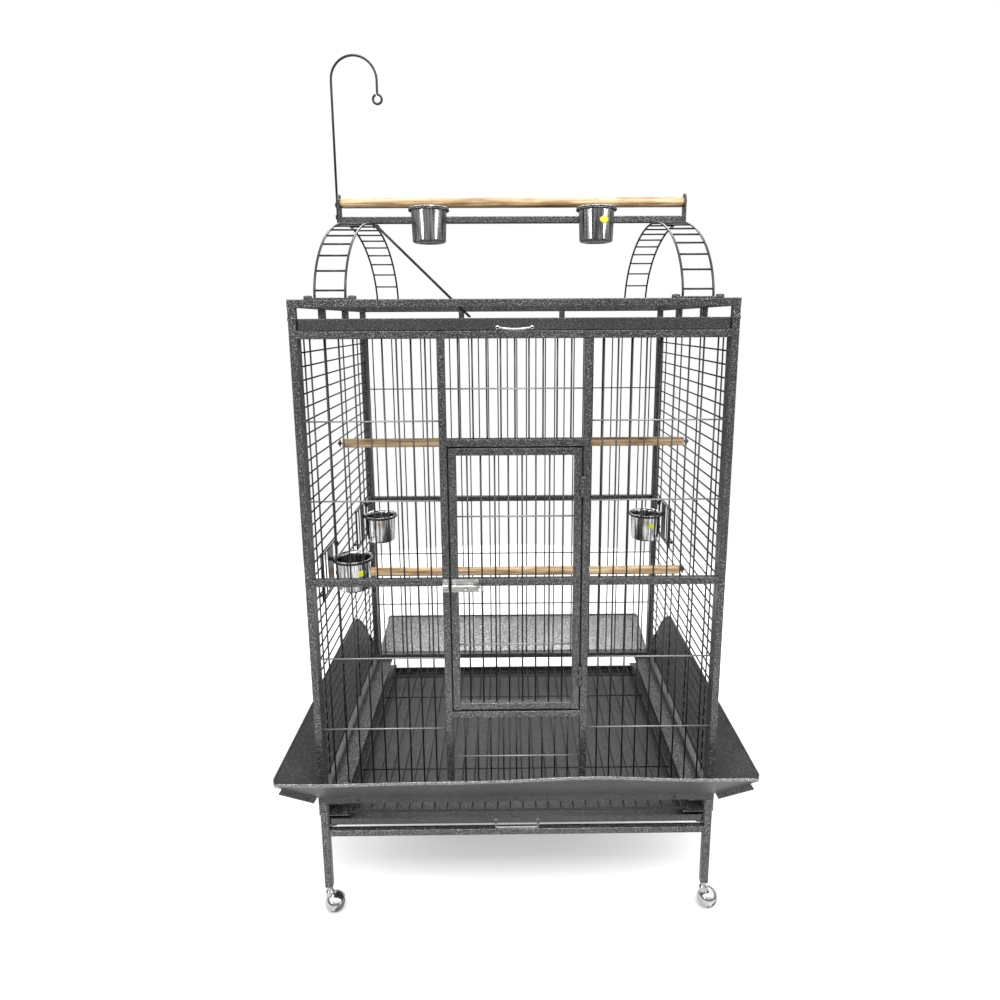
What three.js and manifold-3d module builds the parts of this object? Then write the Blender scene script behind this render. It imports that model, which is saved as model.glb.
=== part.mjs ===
// Bird cage on a rolling stand, with a play area on its roof.
// Millimetres, +Z up. The origin is on the floor under the middle of the cage, and the front faces -Y.

import * as THREE from 'three';
import { mergeVertices } from 'three/addons/utils/BufferGeometryUtils.js';
import Module from 'manifold-3d';

const wasm = await Module();
wasm.setup();

// ---- driving dimensions ----

const cageWidth = 914;
const cageDepth = 711;
const tube = 16;
const legTube = 18;
const wire = 3.6;
const wirePitch = 29.2;
const gap = 0.3;
const weldBite = 1;

const casterHeight = 68;
const standRailBottom = 205;
const bodyBottom = 294;
const sillTop = 524;
const headerBottom = 1132;
const midRailZ = 832;
const bodyTop = 1371;
const rimBottom = 1418;

const halfWidth = cageWidth / 2;
const halfDepth = cageDepth / 2;
const innerHalfWidth = halfWidth - tube;
const innerHalfDepth = halfDepth - tube;
const bodyFloor = bodyBottom + tube;
const bodyCeiling = bodyTop - tube;
const rimTop = rimBottom + tube;

// the two columns beside the doorway, and the door between them
const columnX = 151.5;
const doorwayHalf = columnX - tube / 2;
const doorHalf = doorwayHalf - 2.5;
const doorBottom = 529;
const doorTop = 1129;

// the hinge pin stands in front of the gap between the door and the right column
const hingeX = (doorHalf + doorwayHalf) / 2;
const hingeY = -4.8;
const hingeHeight = 45;
const hingeZs = [612, 1046];

// heights of the wires that cross the front and back
const crossWireZs = [481.5, 654, 1015, 1186];

// side panels: horizontal wires, and the feeder doorways cut through them
const sideWireCount = 35;
const sidePitch = (bodyCeiling - bodyFloor) / (sideWireCount + 1);
const feederSillWire = 15;
const feederHeaderWire = 19;
const feederHalf = 71;
const frontFeederY = -177.5;
const rearFeederY = 196.5;
const feederPlaneX = halfWidth - tube / 2;

// food cups and the rings that hold them
const cupRimRadius = 47.5;
const cupRadius = 42.5;
const cupHeight = 80;
const cupRimLip = 3;
const ringRadius = 46;
const ringWire = 2.5;
const innerCupX = 392;
const innerCupTop = 832;
const topCupX = 198;
const topCupY = -66;
const topCupTop = 1652;

// play area
const archX = 371;
const archHalf = 31;
const archApex = 1621.8;
const archRungs = 20;
const archFirstRung = 16.5;
const archFullness = 1.9;
const railBottom = 1625.4;
const railHalf = 420;
const topPerchZ = 1674;
const topPerchRadius = 12.5;
const hookRadius = 54;
const hookStraightTop = 1951;
const hookEndZ = 1919;

const innerPerchRadius = 12;
const perchZs = { upper: bodyFloor + 26.5 * sidePitch, lower: bodyFloor + 14.5 * sidePitch };

// ---- materials ----

function finish(color, roughness, metalness) {
    return new THREE.MeshStandardMaterial({ color, roughness, metalness });
}

const powderCoat = finish(0x3c3c3e, 0.5, 0.4);
const sheetCoat = finish(0x59595a, 0.5, 0.4);
const zinc = finish(0xb9bbbd, 0.3, 0.9);
const stainless = finish(0xc9cbcc, 0.15, 1.0);
const chrome = finish(0xd5d7d9, 0.08, 1.0);
const rubber = finish(0x222223, 0.7, 0.0);
const wood = finish(0xd9bd8e, 0.6, 0.0);

// ---- solids ----

function solid(geometry) {
    geometry.deleteAttribute('normal');
    geometry.deleteAttribute('uv');
    const merged = mergeVertices(geometry, 1e-4);
    const mesh = new wasm.Mesh({
        numProp: 3,
        vertProperties: new Float32Array(merged.attributes.position.array),
        triVerts: new Uint32Array(merged.index.array),
    });
    return new wasm.Manifold(mesh);
}

function join(solids) {
    return solids.reduce((whole, next) => whole.add(next));
}

function block([x0, x1], [y0, y1], [z0, z1]) {
    const geometry = new THREE.BoxGeometry(x1 - x0, y1 - y0, z1 - z0);
    geometry.translate((x0 + x1) / 2, (y0 + y1) / 2, (z0 + z1) / 2);
    return solid(geometry);
}

function around(centre, size) {
    return [centre - size / 2, centre + size / 2];
}

function mirrored(side, [a, b]) {
    return side > 0 ? [a, b] : [-b, -a];
}

function rod(from, to, radius, sides = 8) {
    const start = new THREE.Vector3(...from);
    const axis = new THREE.Vector3(...to).sub(start);
    const geometry = new THREE.CylinderGeometry(radius, radius, axis.length(), sides);
    const turn = new THREE.Quaternion().setFromUnitVectors(
        new THREE.Vector3(0, 1, 0), axis.clone().normalize());
    geometry.applyQuaternion(turn);
    const middle = start.addScaledVector(axis, 0.5);
    geometry.translate(middle.x, middle.y, middle.z);
    return solid(geometry);
}

// a solid of revolution about +Z, from [radius, height] points
function turned(profile, sides = 24) {
    const points = profile.map(([r, z]) => new THREE.Vector2(r, z));
    const geometry = new THREE.LatheGeometry(points, sides);
    geometry.rotateX(Math.PI / 2);
    return solid(geometry);
}

function washer(inner, outer, z0, z1, sides = 8) {
    return turned([[inner, z0], [outer, z0], [outer, z1], [inner, z1], [inner, z0]], sides);
}

function bent(points, radius, steps, sides = 6) {
    const path = new THREE.CatmullRomCurve3(points.map((p) => new THREE.Vector3(...p)));
    const section = new THREE.Shape();
    for (let i = 0; i < sides; i += 1) {
        const angle = (2 * Math.PI * i) / sides;
        const x = radius * Math.cos(angle);
        const y = radius * Math.sin(angle);
        if (i === 0) section.moveTo(x, y);
        else section.lineTo(x, y);
    }
    section.closePath();
    return solid(new THREE.ExtrudeGeometry(section, { steps, extrudePath: path, bevelEnabled: false }));
}

// points on an arc in the XZ plane at a given y, angles in degrees from +X towards +Z
function arcPoints([cx, y, cz], radius, from, to, count) {
    return Array.from({ length: count + 1 }, (_, i) => {
        const angle = THREE.MathUtils.degToRad(from + ((to - from) * i) / count);
        return [cx + radius * Math.cos(angle), y, cz + radius * Math.sin(angle)];
    });
}

// a closed [outward distance, height] outline run along X, half its length to each side;
// its ends move out by the slant for each millimetre outward, so a slant of 1 mitres a square corner
function mitred(outline, half, slant = 1) {
    const shape = new THREE.Shape(outline.map(([d, z]) => new THREE.Vector2(d, z)));
    const geometry = new THREE.ExtrudeGeometry(shape, { depth: 1, bevelEnabled: false });
    const position = geometry.attributes.position;
    for (let i = 0; i < position.count; i += 1) {
        const outward = position.getX(i);
        const height = position.getY(i);
        const end = position.getZ(i) > 0.5 ? -1 : 1;
        position.setXYZ(i, end * (half + slant * outward - gap), -outward, height);
    }
    return solid(geometry);
}

// ---- placing ----

const cage = new THREE.Group();

function place(name, shape, material, [x, y, z] = [0, 0, 0], turn = 0) {
    const { vertProperties, triVerts } = shape.getMesh();
    const geometry = new THREE.BufferGeometry();
    geometry.setAttribute('position', new THREE.BufferAttribute(vertProperties, 3));
    geometry.setIndex(new THREE.BufferAttribute(triVerts, 1));
    geometry.computeVertexNormals();
    const mesh = new THREE.Mesh(geometry, material);
    mesh.name = name;
    mesh.position.set(x, y, z);
    mesh.rotation.z = turn;
    cage.add(mesh);
}

function spread(count, pitch, centre = 0) {
    return Array.from({ length: count }, (_, i) => centre + (i - (count - 1) / 2) * pitch);
}

// Panels are drawn in their own X-Z plane, with their outer face at y = 0 and their thickness towards +y.
const panelThickness = [0, tube];
const wireY = around(tube / 2, wire);
const crossY = around(tube / 2 - wire - gap, wire);
const crossTouchingY = around(tube / 2 - wire + 0.4, wire);

function uprights(xs, [z0, z1]) {
    return xs.map((x) => block(around(x, wire), wireY, [z0 - weldBite, z1 + weldBite]));
}

function crossWires(zs, [x0, x1], y = crossY) {
    return zs.map((z) => block([x0 - weldBite, x1 + weldBite], y, around(z, wire)));
}

// ---- the stand ----

function stand() {
    const legX = halfWidth - legTube / 2;
    const legY = halfDepth - legTube / 2;
    const corners = [['front_left', -1, -1], ['front_right', 1, -1], ['rear_left', -1, 1], ['rear_right', 1, 1]];
    for (const [corner, sx, sy] of corners) {
        const leg = block(around(0, legTube), around(0, legTube), [casterHeight, bodyBottom - gap]);
        place(`leg_${corner}`, leg, powderCoat, [sx * legX, sy * legY, 0]);
        place(`caster_hood_${corner}`, casterHood(), chrome, [sx * legX, sy * legY, 0]);
        place(`caster_wheel_${corner}`, casterWheel(), rubber, [sx * legX + casterTrail, sy * legY, 0]);
    }

    const railHeight = [standRailBottom, standRailBottom + tube];
    const crossRail = block(around(0, 2 * (halfWidth - legTube - gap)), around(0, tube), railHeight);
    place('stand_rail_front', crossRail, powderCoat, [0, -legY, 0]);
    place('stand_rail_rear', crossRail, powderCoat, [0, legY, 0]);
    const sideRail = block(around(0, legTube), around(0, 2 * (halfDepth - legTube - gap)), railHeight);
    place('stand_rail_left', sideRail, powderCoat, [-legX, 0, 0]);
    place('stand_rail_right', sideRail, powderCoat, [legX, 0, 0]);
}

// the wheels are regular polygons that stand on one flat
const casterTrail = 12;
const wheelRadius = 21.5;
const wheelSides = 20;
const axleHeight = wheelRadius * Math.cos(Math.PI / wheelSides);
const wheelHalf = 7;
const wheelEase = 2.5;
const axleRadius = 3;
const hoodRadius = 25;
const hoodInner = 23.8;

function ball(radius) {
    const geometry = new THREE.SphereGeometry(radius, 12, 8);
    geometry.rotateX(Math.PI / 2);
    geometry.translate(casterTrail, 0, axleHeight);
    return solid(geometry);
}

function casterHood() {
    const below = block([-60, 60], [-60, 60], [-60, axleHeight - 4]);
    const neck = rod([0, 0, axleHeight + 16], [0, 0, 57], 8, 8);
    const stem = rod([0, 0, 50], [0, 0, casterHeight - gap], 5.5, 8);
    const shell = join([ball(hoodRadius), neck]).subtract(ball(hoodInner)).subtract(below);
    const axleHalf = hoodInner + 0.8;
    const axle = rod([casterTrail, -axleHalf, axleHeight], [casterTrail, axleHalf, axleHeight], axleRadius, 8);
    return join([shell, stem, axle]);
}

function casterWheel() {
    const bore = axleRadius + 0.4;
    const tread = wheelRadius - wheelEase;
    const wheel = turned([
        [bore, -wheelHalf], [tread, -wheelHalf], [wheelRadius, -wheelHalf + wheelEase],
        [wheelRadius, wheelHalf - wheelEase], [tread, wheelHalf], [bore, wheelHalf], [bore, -wheelHalf],
    ], wheelSides);
    return wheel.rotate([0, 0, 180 / wheelSides]).rotate([90, 0, 0]).translate([0, 0, axleHeight]);
}

// ---- what slides under the cage ----

const guideInner = 400;
const guideOuter = halfWidth - legTube - 0.5;
const trayLedge = 235;
const grilleLedge = 262.3;
const trayTop = 254;
const guideTop = bodyBottom - gap;
const trayHalf = 435;
const sheet = 1.5;
const grilleRearGap = 27;

function guides() {
    const guideLength = [-halfDepth + gap, halfDepth - gap];
    for (const [side, name] of [[-1, 'left'], [1, 'right']]) {
        const channel = join([
            block(mirrored(side, [guideInner, guideOuter]), guideLength, [grilleLedge, guideTop]),
            block(mirrored(side, [guideInner - 12, guideOuter]), guideLength, [grilleLedge, grilleLedge + sheet]),
            block(mirrored(side, [guideOuter - sheet, guideOuter]), guideLength, [trayLedge, guideTop]),
            block(mirrored(side, [guideOuter - 18, guideOuter]), guideLength, [trayLedge, trayLedge + sheet]),
        ]);
        place(`tray_guide_${name}`, channel, powderCoat);
    }
}

function pan(halfX, [y0, y1], [z0, z1]) {
    const outer = block([-halfX, halfX], [y0, y1], [z0, z1]);
    const inner = block([-halfX + sheet, halfX - sheet], [y0 + sheet, y1 - sheet], [z0 + sheet, z1 + 10]);
    return outer.subtract(inner);
}

function pullHandle(half, z, reach) {
    const front = -halfDepth;
    const corner = 6;
    return bent([
        [-half, front + 0.8, z], [-half, front - reach + corner, z], [-half + corner, front - reach, z],
        [0, front - reach, z],
        [half - corner, front - reach, z], [half, front - reach + corner, z], [half, front + 0.8, z],
    ], 2.5, 16, 4);
}

function bottomTray() {
    const tray = pan(trayHalf, [-halfDepth, halfDepth - 5], [trayLedge + sheet + gap, trayTop]);
    place('bottom_tray', join([tray, pullHandle(49, 246, 22)]), sheetCoat);
}

function floorGrille() {
    const grilleHalf = guideInner - 4;
    const low = grilleLedge + sheet + gap;
    const height = [low, low + 6];
    const ends = [-halfDepth + 5, halfDepth - grilleRearGap];
    const edge = 5;
    const wireZ = around(low + 3, wire);
    const runs = spread(26, 29.7).map((x) => block(around(x, wire), [ends[0] + edge - weldBite,
        ends[1] - edge + weldBite], wireZ));
    const frame = [
        block([-grilleHalf, grilleHalf], [ends[0], ends[0] + edge], height),
        block([-grilleHalf, grilleHalf], [ends[1] - edge, ends[1]], height),
        block([-grilleHalf, -grilleHalf + edge], ends, height),
        block([grilleHalf - edge, grilleHalf], ends, height),
    ];
    place('floor_grille', join([...frame, ...runs]), powderCoat);
}

// ---- front of the cage ----

// everything from one corner post to the column beside the doorway
function frontSide(side) {
    const post = mirrored(side, [innerHalfWidth, halfWidth]);
    const column = mirrored(side, around(columnX, tube));
    const across = mirrored(side, [columnX - tube / 2, halfWidth]);
    const between = mirrored(side, [columnX + tube / 2, innerHalfWidth]);
    const wireXs = spread(9, wirePitch, (side * (columnX + halfWidth - tube / 2)) / 2);
    const full = [bodyBottom, bodyTop];
    return [
        block(post, panelThickness, full),
        block(column, panelThickness, full),
        block(across, panelThickness, [bodyBottom, bodyFloor]),
        block(across, panelThickness, [bodyCeiling, bodyTop]),
        block(across, panelThickness, around(midRailZ, tube)),
        ...uprights(wireXs, [bodyFloor, bodyCeiling]),
        ...crossWires(crossWireZs, between),
    ];
}

// the fixed half of each hinge: two knuckles on one pin, on the right column
function columnHinges() {
    return hingeZs.flatMap((z) => {
        const third = hingeHeight / 3;
        const knuckles = [-1, 1].flatMap((end) => {
            const low = z + end * third - third / 2 + 0.4;
            const high = z + end * third + third / 2 - 0.4;
            return [
                rod([hingeX, hingeY, low], [hingeX, hingeY, high], 4.5, 8),
                block([hingeX + 0.5, hingeX + 6], [hingeY - 1, 0.3], [low, high]),
            ];
        });
        const pin = rod([hingeX, hingeY, z - hingeHeight / 2 + 1], [hingeX, hingeY, z + hingeHeight / 2 - 1], 2, 8);
        return [pin, ...knuckles];
    });
}

const latchZ = 826;
const latchY = -7;
const boltRadius = 3.6;

// a strap on the left column, with a square hole for the bolt
function latchKeeper() {
    const strap = [-158, -146];
    const hole = 2 * boltRadius + 1.4;
    const body = block(strap, [latchY - hole / 2 - 2, 0.3], around(latchZ, hole + 6));
    return body.subtract(block([strap[0] - 5, strap[1] + 5], around(latchY, hole), around(latchZ, hole)));
}

function frontPanel() {
    const front = [0, -halfDepth, 0];
    place('front_panel_left', join([...frontSide(-1), latchKeeper()]), powderCoat, front);
    place('front_panel_right', join([...frontSide(1), ...columnHinges()]), powderCoat, front);

    const across = [-doorwayHalf + gap, doorwayHalf - gap];
    const crossAcross = [-doorwayHalf + 2, doorwayHalf - 2];
    const wireXs = spread(9, wirePitch);
    const overDoor = join([
        block(across, panelThickness, [headerBottom, headerBottom + tube]),
        block(across, panelThickness, [bodyCeiling, bodyTop]),
        ...uprights(wireXs, [headerBottom + tube, bodyCeiling]),
        ...crossWires([1253], crossAcross, crossTouchingY),
    ]);
    const underDoor = join([
        block(across, panelThickness, [bodyBottom, bodyFloor]),
        block(across, panelThickness, [sillTop - tube, sillTop]),
        ...uprights(wireXs, [bodyFloor, sillTop - tube]),
        ...crossWires([410], crossAcross, crossTouchingY),
    ]);
    place('front_panel_over_door', overDoor, powderCoat, front);
    place('front_panel_under_door', underDoor, powderCoat, front);
}

function door() {
    const front = [0, -halfDepth, 0];
    const across = [-doorHalf, doorHalf];
    const inner = [-doorHalf + tube, doorHalf - tube];
    const full = [doorBottom, doorTop];
    const hinges = hingeZs.flatMap((z) => {
        const low = z - hingeHeight / 6 + 0.4;
        const high = z + hingeHeight / 6 - 0.4;
        const knuckle = washer(2.5, 4.5, low, high).translate([hingeX, hingeY, 0]);
        return [knuckle, block([hingeX - 7, hingeX - 2.8], [hingeY - 1, 0.3], [low, high])];
    });
    const leaf = join([
        block([-doorHalf, -doorHalf + tube], panelThickness, full),
        block([doorHalf - tube, doorHalf], panelThickness, full),
        block(across, panelThickness, [doorBottom, doorBottom + tube]),
        block(across, panelThickness, [doorTop - tube, doorTop]),
        block(across, panelThickness, around(midRailZ, tube)),
        ...uprights(spread(8, wirePitch), [doorBottom + tube, doorTop - tube]),
        ...crossWires([686, 980], inner),
        ...hinges,
    ]);
    place('cage_door', leaf, powderCoat, front);

    const bore = rod([-160, latchY, latchZ], [-60, latchY, latchZ], boltRadius + 0.4, 12);
    const plate = block([-139, -64], [-2.3, -gap], [latchZ - 15, latchZ + 15]);
    const barrel = block([-134, -96], [latchY - 5.5, -2], [latchZ - 6, latchZ + 6]);
    place('latch_plate', join([plate, barrel]).subtract(bore), zinc, front);

    const bolt = rod([-139.5, latchY, latchZ], [-66, latchY, latchZ], boltRadius, 12);
    const knob = rod([-76, latchY, latchZ], [-76, latchY - 16, latchZ], 4, 12);
    place('latch_bolt', join([bolt, knob]), zinc, front);
}

// ---- back, sides and roof of the cage ----

function backPanel() {
    const full = [bodyBottom, bodyTop];
    const across = [-halfWidth, halfWidth];
    const panel = join([
        block([-halfWidth, -innerHalfWidth], panelThickness, full),
        block([innerHalfWidth, halfWidth], panelThickness, full),
        block(across, panelThickness, [bodyBottom, bodyFloor]),
        block(across, panelThickness, [bodyCeiling, bodyTop]),
        block(across, panelThickness, around(midRailZ + 6, tube)),
        ...uprights(spread(30, wirePitch), [bodyFloor, bodyCeiling]),
        ...crossWires(crossWireZs, [-innerHalfWidth, innerHalfWidth]),
    ]);
    place('back_panel', panel, powderCoat, [0, halfDepth, 0], Math.PI);
}

const sideHalf = innerHalfDepth - gap;

function sideWireZ(index) {
    return bodyFloor + index * sidePitch;
}

function sideWires(first, last, ends) {
    const indices = Array.from({ length: last - first + 1 }, (_, i) => first + i);
    return indices.map((i) => block(ends, wireY, around(sideWireZ(i), wire)));
}

// Drawn with x along the depth: -x is the front on the right panel, and the back on the left one.
// The lower and upper parts reach the feeder doorways, and the pieces between close the gaps beside them.
function sidePanel(name, side, feederYs) {
    const toPanel = (y) => (side > 0 ? y : -y);
    const spot = [side * halfWidth, 0, 0];
    const turn = (side * Math.PI) / 2;
    const stileInner = sideHalf - tube;
    const wireEnds = [-stileInner - weldBite, stileInner + weldBite];
    const braceXs = [-3, -1, 1, 3].map((eighth) => (eighth * cageDepth) / 8);
    const sill = sideWireZ(feederSillWire);
    const header = sideWireZ(feederHeaderWire);

    const level = (z0, z1, [railLow, railHigh], first, last, frameWireZ) => join([
        block([-sideHalf, -stileInner], panelThickness, [z0, z1]),
        block([stileInner, sideHalf], panelThickness, [z0, z1]),
        block([-sideHalf, sideHalf], panelThickness, [railLow, railHigh]),
        ...sideWires(first, last, wireEnds),
        ...braceXs.map((x) => join([
            block(around(x, wire), crossY, [Math.min(railHigh - weldBite, frameWireZ),
                Math.max(railLow + weldBite, frameWireZ)]),
            block(around(x, wire - 0.8), [crossY[0] + 0.4, wireY[0] + 1], around(frameWireZ, wire - 0.8)),
        ])),
    ]);
    const lower = level(bodyBottom, sill + wire / 2, [bodyBottom, bodyFloor], 1, feederSillWire, sill);
    const upper = level(header - wire / 2, bodyTop, [bodyCeiling, bodyTop], feederHeaderWire, sideWireCount, header);
    place(`${name}_lower`, lower, powderCoat, spot, turn);
    place(`${name}_upper`, upper, powderCoat, spot, turn);

    const between = [sill + wire / 2 + gap, header - wire / 2 - gap];
    const stops = [-sideHalf, ...feederYs.flatMap((y) => [y - feederHalf, y + feederHalf]), sideHalf];
    const words = feederYs.length > 1 ? ['front', 'middle', 'rear'] : ['front', 'rear'];
    words.forEach((word, i) => {
        const ends = [stops[2 * i], stops[2 * i + 1]];
        const uprightAt = (y) => {
            if (Math.abs(y) < sideHalf) {
                const x = toPanel(y);
                return rod([x, tube / 2, between[0]], [x, tube / 2, between[1]], 2.5, 8);
            }
            const stile = y > 0 ? [stileInner, sideHalf] : [-sideHalf, -stileInner];
            return block(side > 0 ? stile : mirrored(-1, stile), panelThickness, between);
        };
        const run = side > 0 ? ends : mirrored(-1, ends);
        const reach = [run[0] + 0.5, run[1] - 0.5];
        const wires = sideWires(feederSillWire + 1, feederHeaderWire - 1, reach);
        place(`${name}_${word}`, join([uprightAt(ends[0]), uprightAt(ends[1]), ...wires]), powderCoat, spot, turn);
    });
}

function roofGrille() {
    const halfX = innerHalfWidth - gap;
    const halfY = innerHalfDepth - gap;
    const edge = 6;
    const height = around(bodyTop - tube / 2, edge);
    const runs = spread(29, wirePitch).map((x) => block(around(x, wire), around(0, 2 * (halfY - edge + weldBite)),
        around(bodyTop - tube / 2, wire)));
    place('roof_grille', join([
        block([-halfX, halfX], [-halfY, -halfY + edge], height),
        block([-halfX, halfX], [halfY - edge, halfY], height),
        block([-halfX, -halfX + edge], [-halfY, halfY], height),
        block([halfX - edge, halfX], [-halfY, halfY], height),
        ...runs,
    ]), powderCoat);
}

// ---- feeder doors and cups ----

function foodCup() {
    const wall = 1.3;
    return turned([
        [0, 0], [cupRadius - 4, 0], [cupRadius - 0.5, 4], [cupRadius, cupHeight - cupRimLip],
        [cupRimRadius, cupHeight - cupRimLip], [cupRimRadius, cupHeight], [cupRadius - wall, cupHeight],
        [cupRadius - wall - 0.5, 5], [cupRadius - 5, wall], [0, wall],
    ], 16);
}

function cupRing([x, y, z]) {
    const geometry = new THREE.TorusGeometry(ringRadius, ringWire, 4, 16);
    geometry.translate(x, y, z);
    return solid(geometry);
}

// A wire door on the side panel. It hangs on the jamb wire behind it, and swings outwards with its cup.
function feederDoor(side, y) {
    const x = side * feederPlaneX;
    const hingeAt = y + feederHalf;
    const freeAt = y - feederHalf + 6.5;
    const frameAt = hingeAt - 9;
    const low = sideWireZ(feederSillWire) + 7;
    const high = sideWireZ(feederHeaderWire) - 7;
    const slim = around(x, wire);
    const bars = spread(5, (frameAt - freeAt) / 4, (frameAt + freeAt) / 2)
        .map((at) => block(slim, around(at, wire), [low, high]));
    const knuckles = [low + 12, high - 12].flatMap((z) => [
        washer(3.3, 5.8, z - 4, z + 4).translate([x, hingeAt, 0]),
        block(slim, [frameAt, hingeAt - 4.2], around(z, 6)),
    ]);
    const ringZ = innerCupTop - cupRimLip - ringWire - gap;
    const plate = block(mirrored(side, [feederPlaneX - wire / 2 - 1.6, feederPlaneX - wire / 2 + 0.4]),
        around(y, 44), [low - 1, high + 1]);
    const arm = block(mirrored(side, [innerCupX + ringRadius - 2, feederPlaneX - wire / 2 - 1]),
        around(y, 16), around(ringZ, 4));
    const knobAt = freeAt + 3;
    const knob = rod([x, knobAt, low + 5], [x + side * 14, knobAt, low + 5], 4.5, 6);
    return join([
        ...bars,
        block(slim, [freeAt, frameAt], around(low, wire)),
        block(slim, [freeAt, frameAt], around(high, wire)),
        ...knuckles, plate, arm, knob,
        cupRing([side * innerCupX, y, ringZ]),
    ]);
}

function feeders() {
    const spots = [['front_left', -1, frontFeederY], ['rear_left', -1, rearFeederY], ['rear_right', 1, rearFeederY]];
    for (const [word, side, y] of spots) {
        place(`feeder_door_${word}`, feederDoor(side, y), powderCoat);
        place(`food_cup_${word}`, foodCup(), stainless, [side * innerCupX, y, innerCupTop - cupHeight]);
    }
}

// ---- seed guards ----

// the rear guard narrows towards its lip, so it stands clear of the side guards
const rearGuardHalf = 446;
const rearGuardSlant = -0.26;

function seedGuards() {
    const spreadOut = 78;
    const foot = 296;
    const bend = 308;
    const lip = 406;
    const outline = [
        [0.4, foot], [2, foot], [2, bend], [spreadOut - 2, lip - 7], [spreadOut + 1.5, lip - 6],
        [spreadOut + 1.5, lip], [spreadOut - 3.5, lip], [spreadOut - 4.5, lip - 6.5], [0.4, bend + 1.5],
    ];
    const sides = [
        ['front', halfWidth, 1, [0, -halfDepth, 0], 0],
        ['right', halfDepth, 1, [halfWidth, 0, 0], Math.PI / 2],
        ['rear', rearGuardHalf, rearGuardSlant, [0, halfDepth, 0], Math.PI],
        ['left', halfDepth, 1, [-halfWidth, 0, 0], -Math.PI / 2],
    ];
    for (const [word, half, slant, spot, turn] of sides) {
        place(`seed_guard_${word}`, mitred(outline, half, slant), sheetCoat, spot, turn);
    }
}

// ---- play area on the roof ----

function playtopRim() {
    const height = [rimBottom, rimTop];
    const outer = block([-halfWidth, halfWidth], [-halfDepth, halfDepth], height);
    const inner = block([-innerHalfWidth, innerHalfWidth], [-innerHalfDepth, innerHalfDepth],
        [rimBottom - 5, rimTop + 5]);
    const postX = halfWidth - tube / 2;
    const postY = halfDepth - tube / 2;
    const spots = [
        ...[-1, 1].flatMap((sx) => [-postY, -cageDepth / 6, cageDepth / 6, postY].map((y) => [sx * postX, y])),
        [-columnX, postY], [columnX, postY],
    ];
    const posts = spots.map(([x, y]) => block(around(x, tube), around(y, tube), [bodyTop + gap, rimBottom + 1]));
    place('playtop_rim', join([outer.subtract(inner), ...posts]), powderCoat);
}

function upperTray() {
    const tray = pan(innerHalfWidth - 2.5, [-halfDepth, innerHalfDepth - 3], [bodyTop + 0.5, 1396]);
    place('upper_tray', join([tray, pullHandle(38, 1381, 24)]), sheetCoat);
}

// half an oval from the front rim to the back rim; a fullness of 2 would be an ellipse
function archCurve(x) {
    const reach = halfDepth - tube / 2;
    const base = rimTop + gap + 1;
    const points = Array.from({ length: 25 }, (_, i) => {
        const angle = Math.PI * (1 - i / 24);
        const along = Math.sign(Math.cos(angle)) * Math.abs(Math.cos(angle)) ** (2 / archFullness);
        const up = Math.abs(Math.sin(angle)) ** (2 / archFullness);
        return new THREE.Vector3(x, reach * along, base + (archApex - base) * up);
    });
    return new THREE.CatmullRomCurve3(points);
}

function ladderArch(x) {
    const wires = [x - archHalf, x + archHalf].map((at) => {
        const points = archCurve(at).getSpacedPoints(24);
        return bent(points.map((p) => p.toArray()), 2.5, 18, 4);
    });
    const middle = archCurve(x);
    const length = middle.getLength();
    const step = (length - 2 * archFirstRung) / (archRungs - 1);
    const rungs = Array.from({ length: archRungs }, (_, i) => {
        const p = middle.getPointAt((archFirstRung + i * step) / length);
        return rod([x - archHalf, p.y, p.z], [x + archHalf, p.y, p.z], 2.2, 3);
    });
    const reach = halfDepth - tube / 2;
    const plates = [-reach, reach].map((y) => block(around(x, 104), around(y, 14),
        [rimTop + gap, rimTop + gap + 3]));
    return join([...wires, ...rungs, ...plates]);
}

function perchRail() {
    const topOfRail = railBottom + tube;
    const ringZ = topCupTop - cupRimLip - ringWire - gap;
    const ringBack = topCupY + ringRadius;
    return join([
        block([-railHalf - 4, railHalf + 4], around(0, tube), [railBottom, topOfRail]),
        block([-railHalf - 4, -railHalf], around(0, 30), [railBottom, topPerchZ + 20]),
        block([railHalf, railHalf + 4], around(0, 30), [railBottom, topPerchZ + 20]),
        ...[-topCupX, topCupX].flatMap((x) => [
            cupRing([x, topCupY, ringZ]),
            block(around(x, 16), [ringBack - 2, -tube / 2 + 0.5], [topOfRail - 8, ringZ + 2]),
        ]),
    ]);
}

function toyHook() {
    const x = -railHalf - 4 - gap - 3;
    const end = x + 2 * hookRadius;
    const straight = [0, 0.25, 0.5, 0.75].map((t) => [x, 0, railBottom + 3 + t * (hookStraightTop - railBottom - 3)]);
    const over = arcPoints([x + hookRadius, 0, hookStraightTop], hookRadius, 180, 0, 10);
    const eyeRadius = 11;
    const stem = bent([...straight, ...over, [end, 0, hookEndZ]], 3, 26, 5);
    const eye = new THREE.TorusGeometry(eyeRadius, 2, 4, 12);
    eye.rotateX(Math.PI / 2);
    eye.translate(end, 0, hookEndZ - eyeRadius);
    return join([stem, solid(eye)]);
}

function climbingLadder() {
    const halfLadder = 33;
    const wireX = -archX + archHalf;
    const wireZ = archApex - 1;
    const hookReach = 6.2;
    const top = [wireX + hookReach, wireZ];
    const foot = [-108, 1400];
    const rails = [-halfLadder, halfLadder].map((y) => join([
        rod([top[0], y, top[1]], [foot[0], y, foot[1]], 2.8, 4),
        bent(arcPoints([wireX, y, wireZ], hookReach, -30, 190, 8), 2.2, 8, 4),
    ]));
    const rungCount = 8;
    const rungs = Array.from({ length: rungCount }, (_, i) => {
        const t = (i + 0.6) / rungCount;
        const x = top[0] + t * (foot[0] - top[0]);
        const z = top[1] + t * (foot[1] - top[1]);
        return rod([x, -halfLadder, z], [x, halfLadder, z], 1.9, 4);
    });
    return join([...rails, ...rungs]);
}

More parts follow.
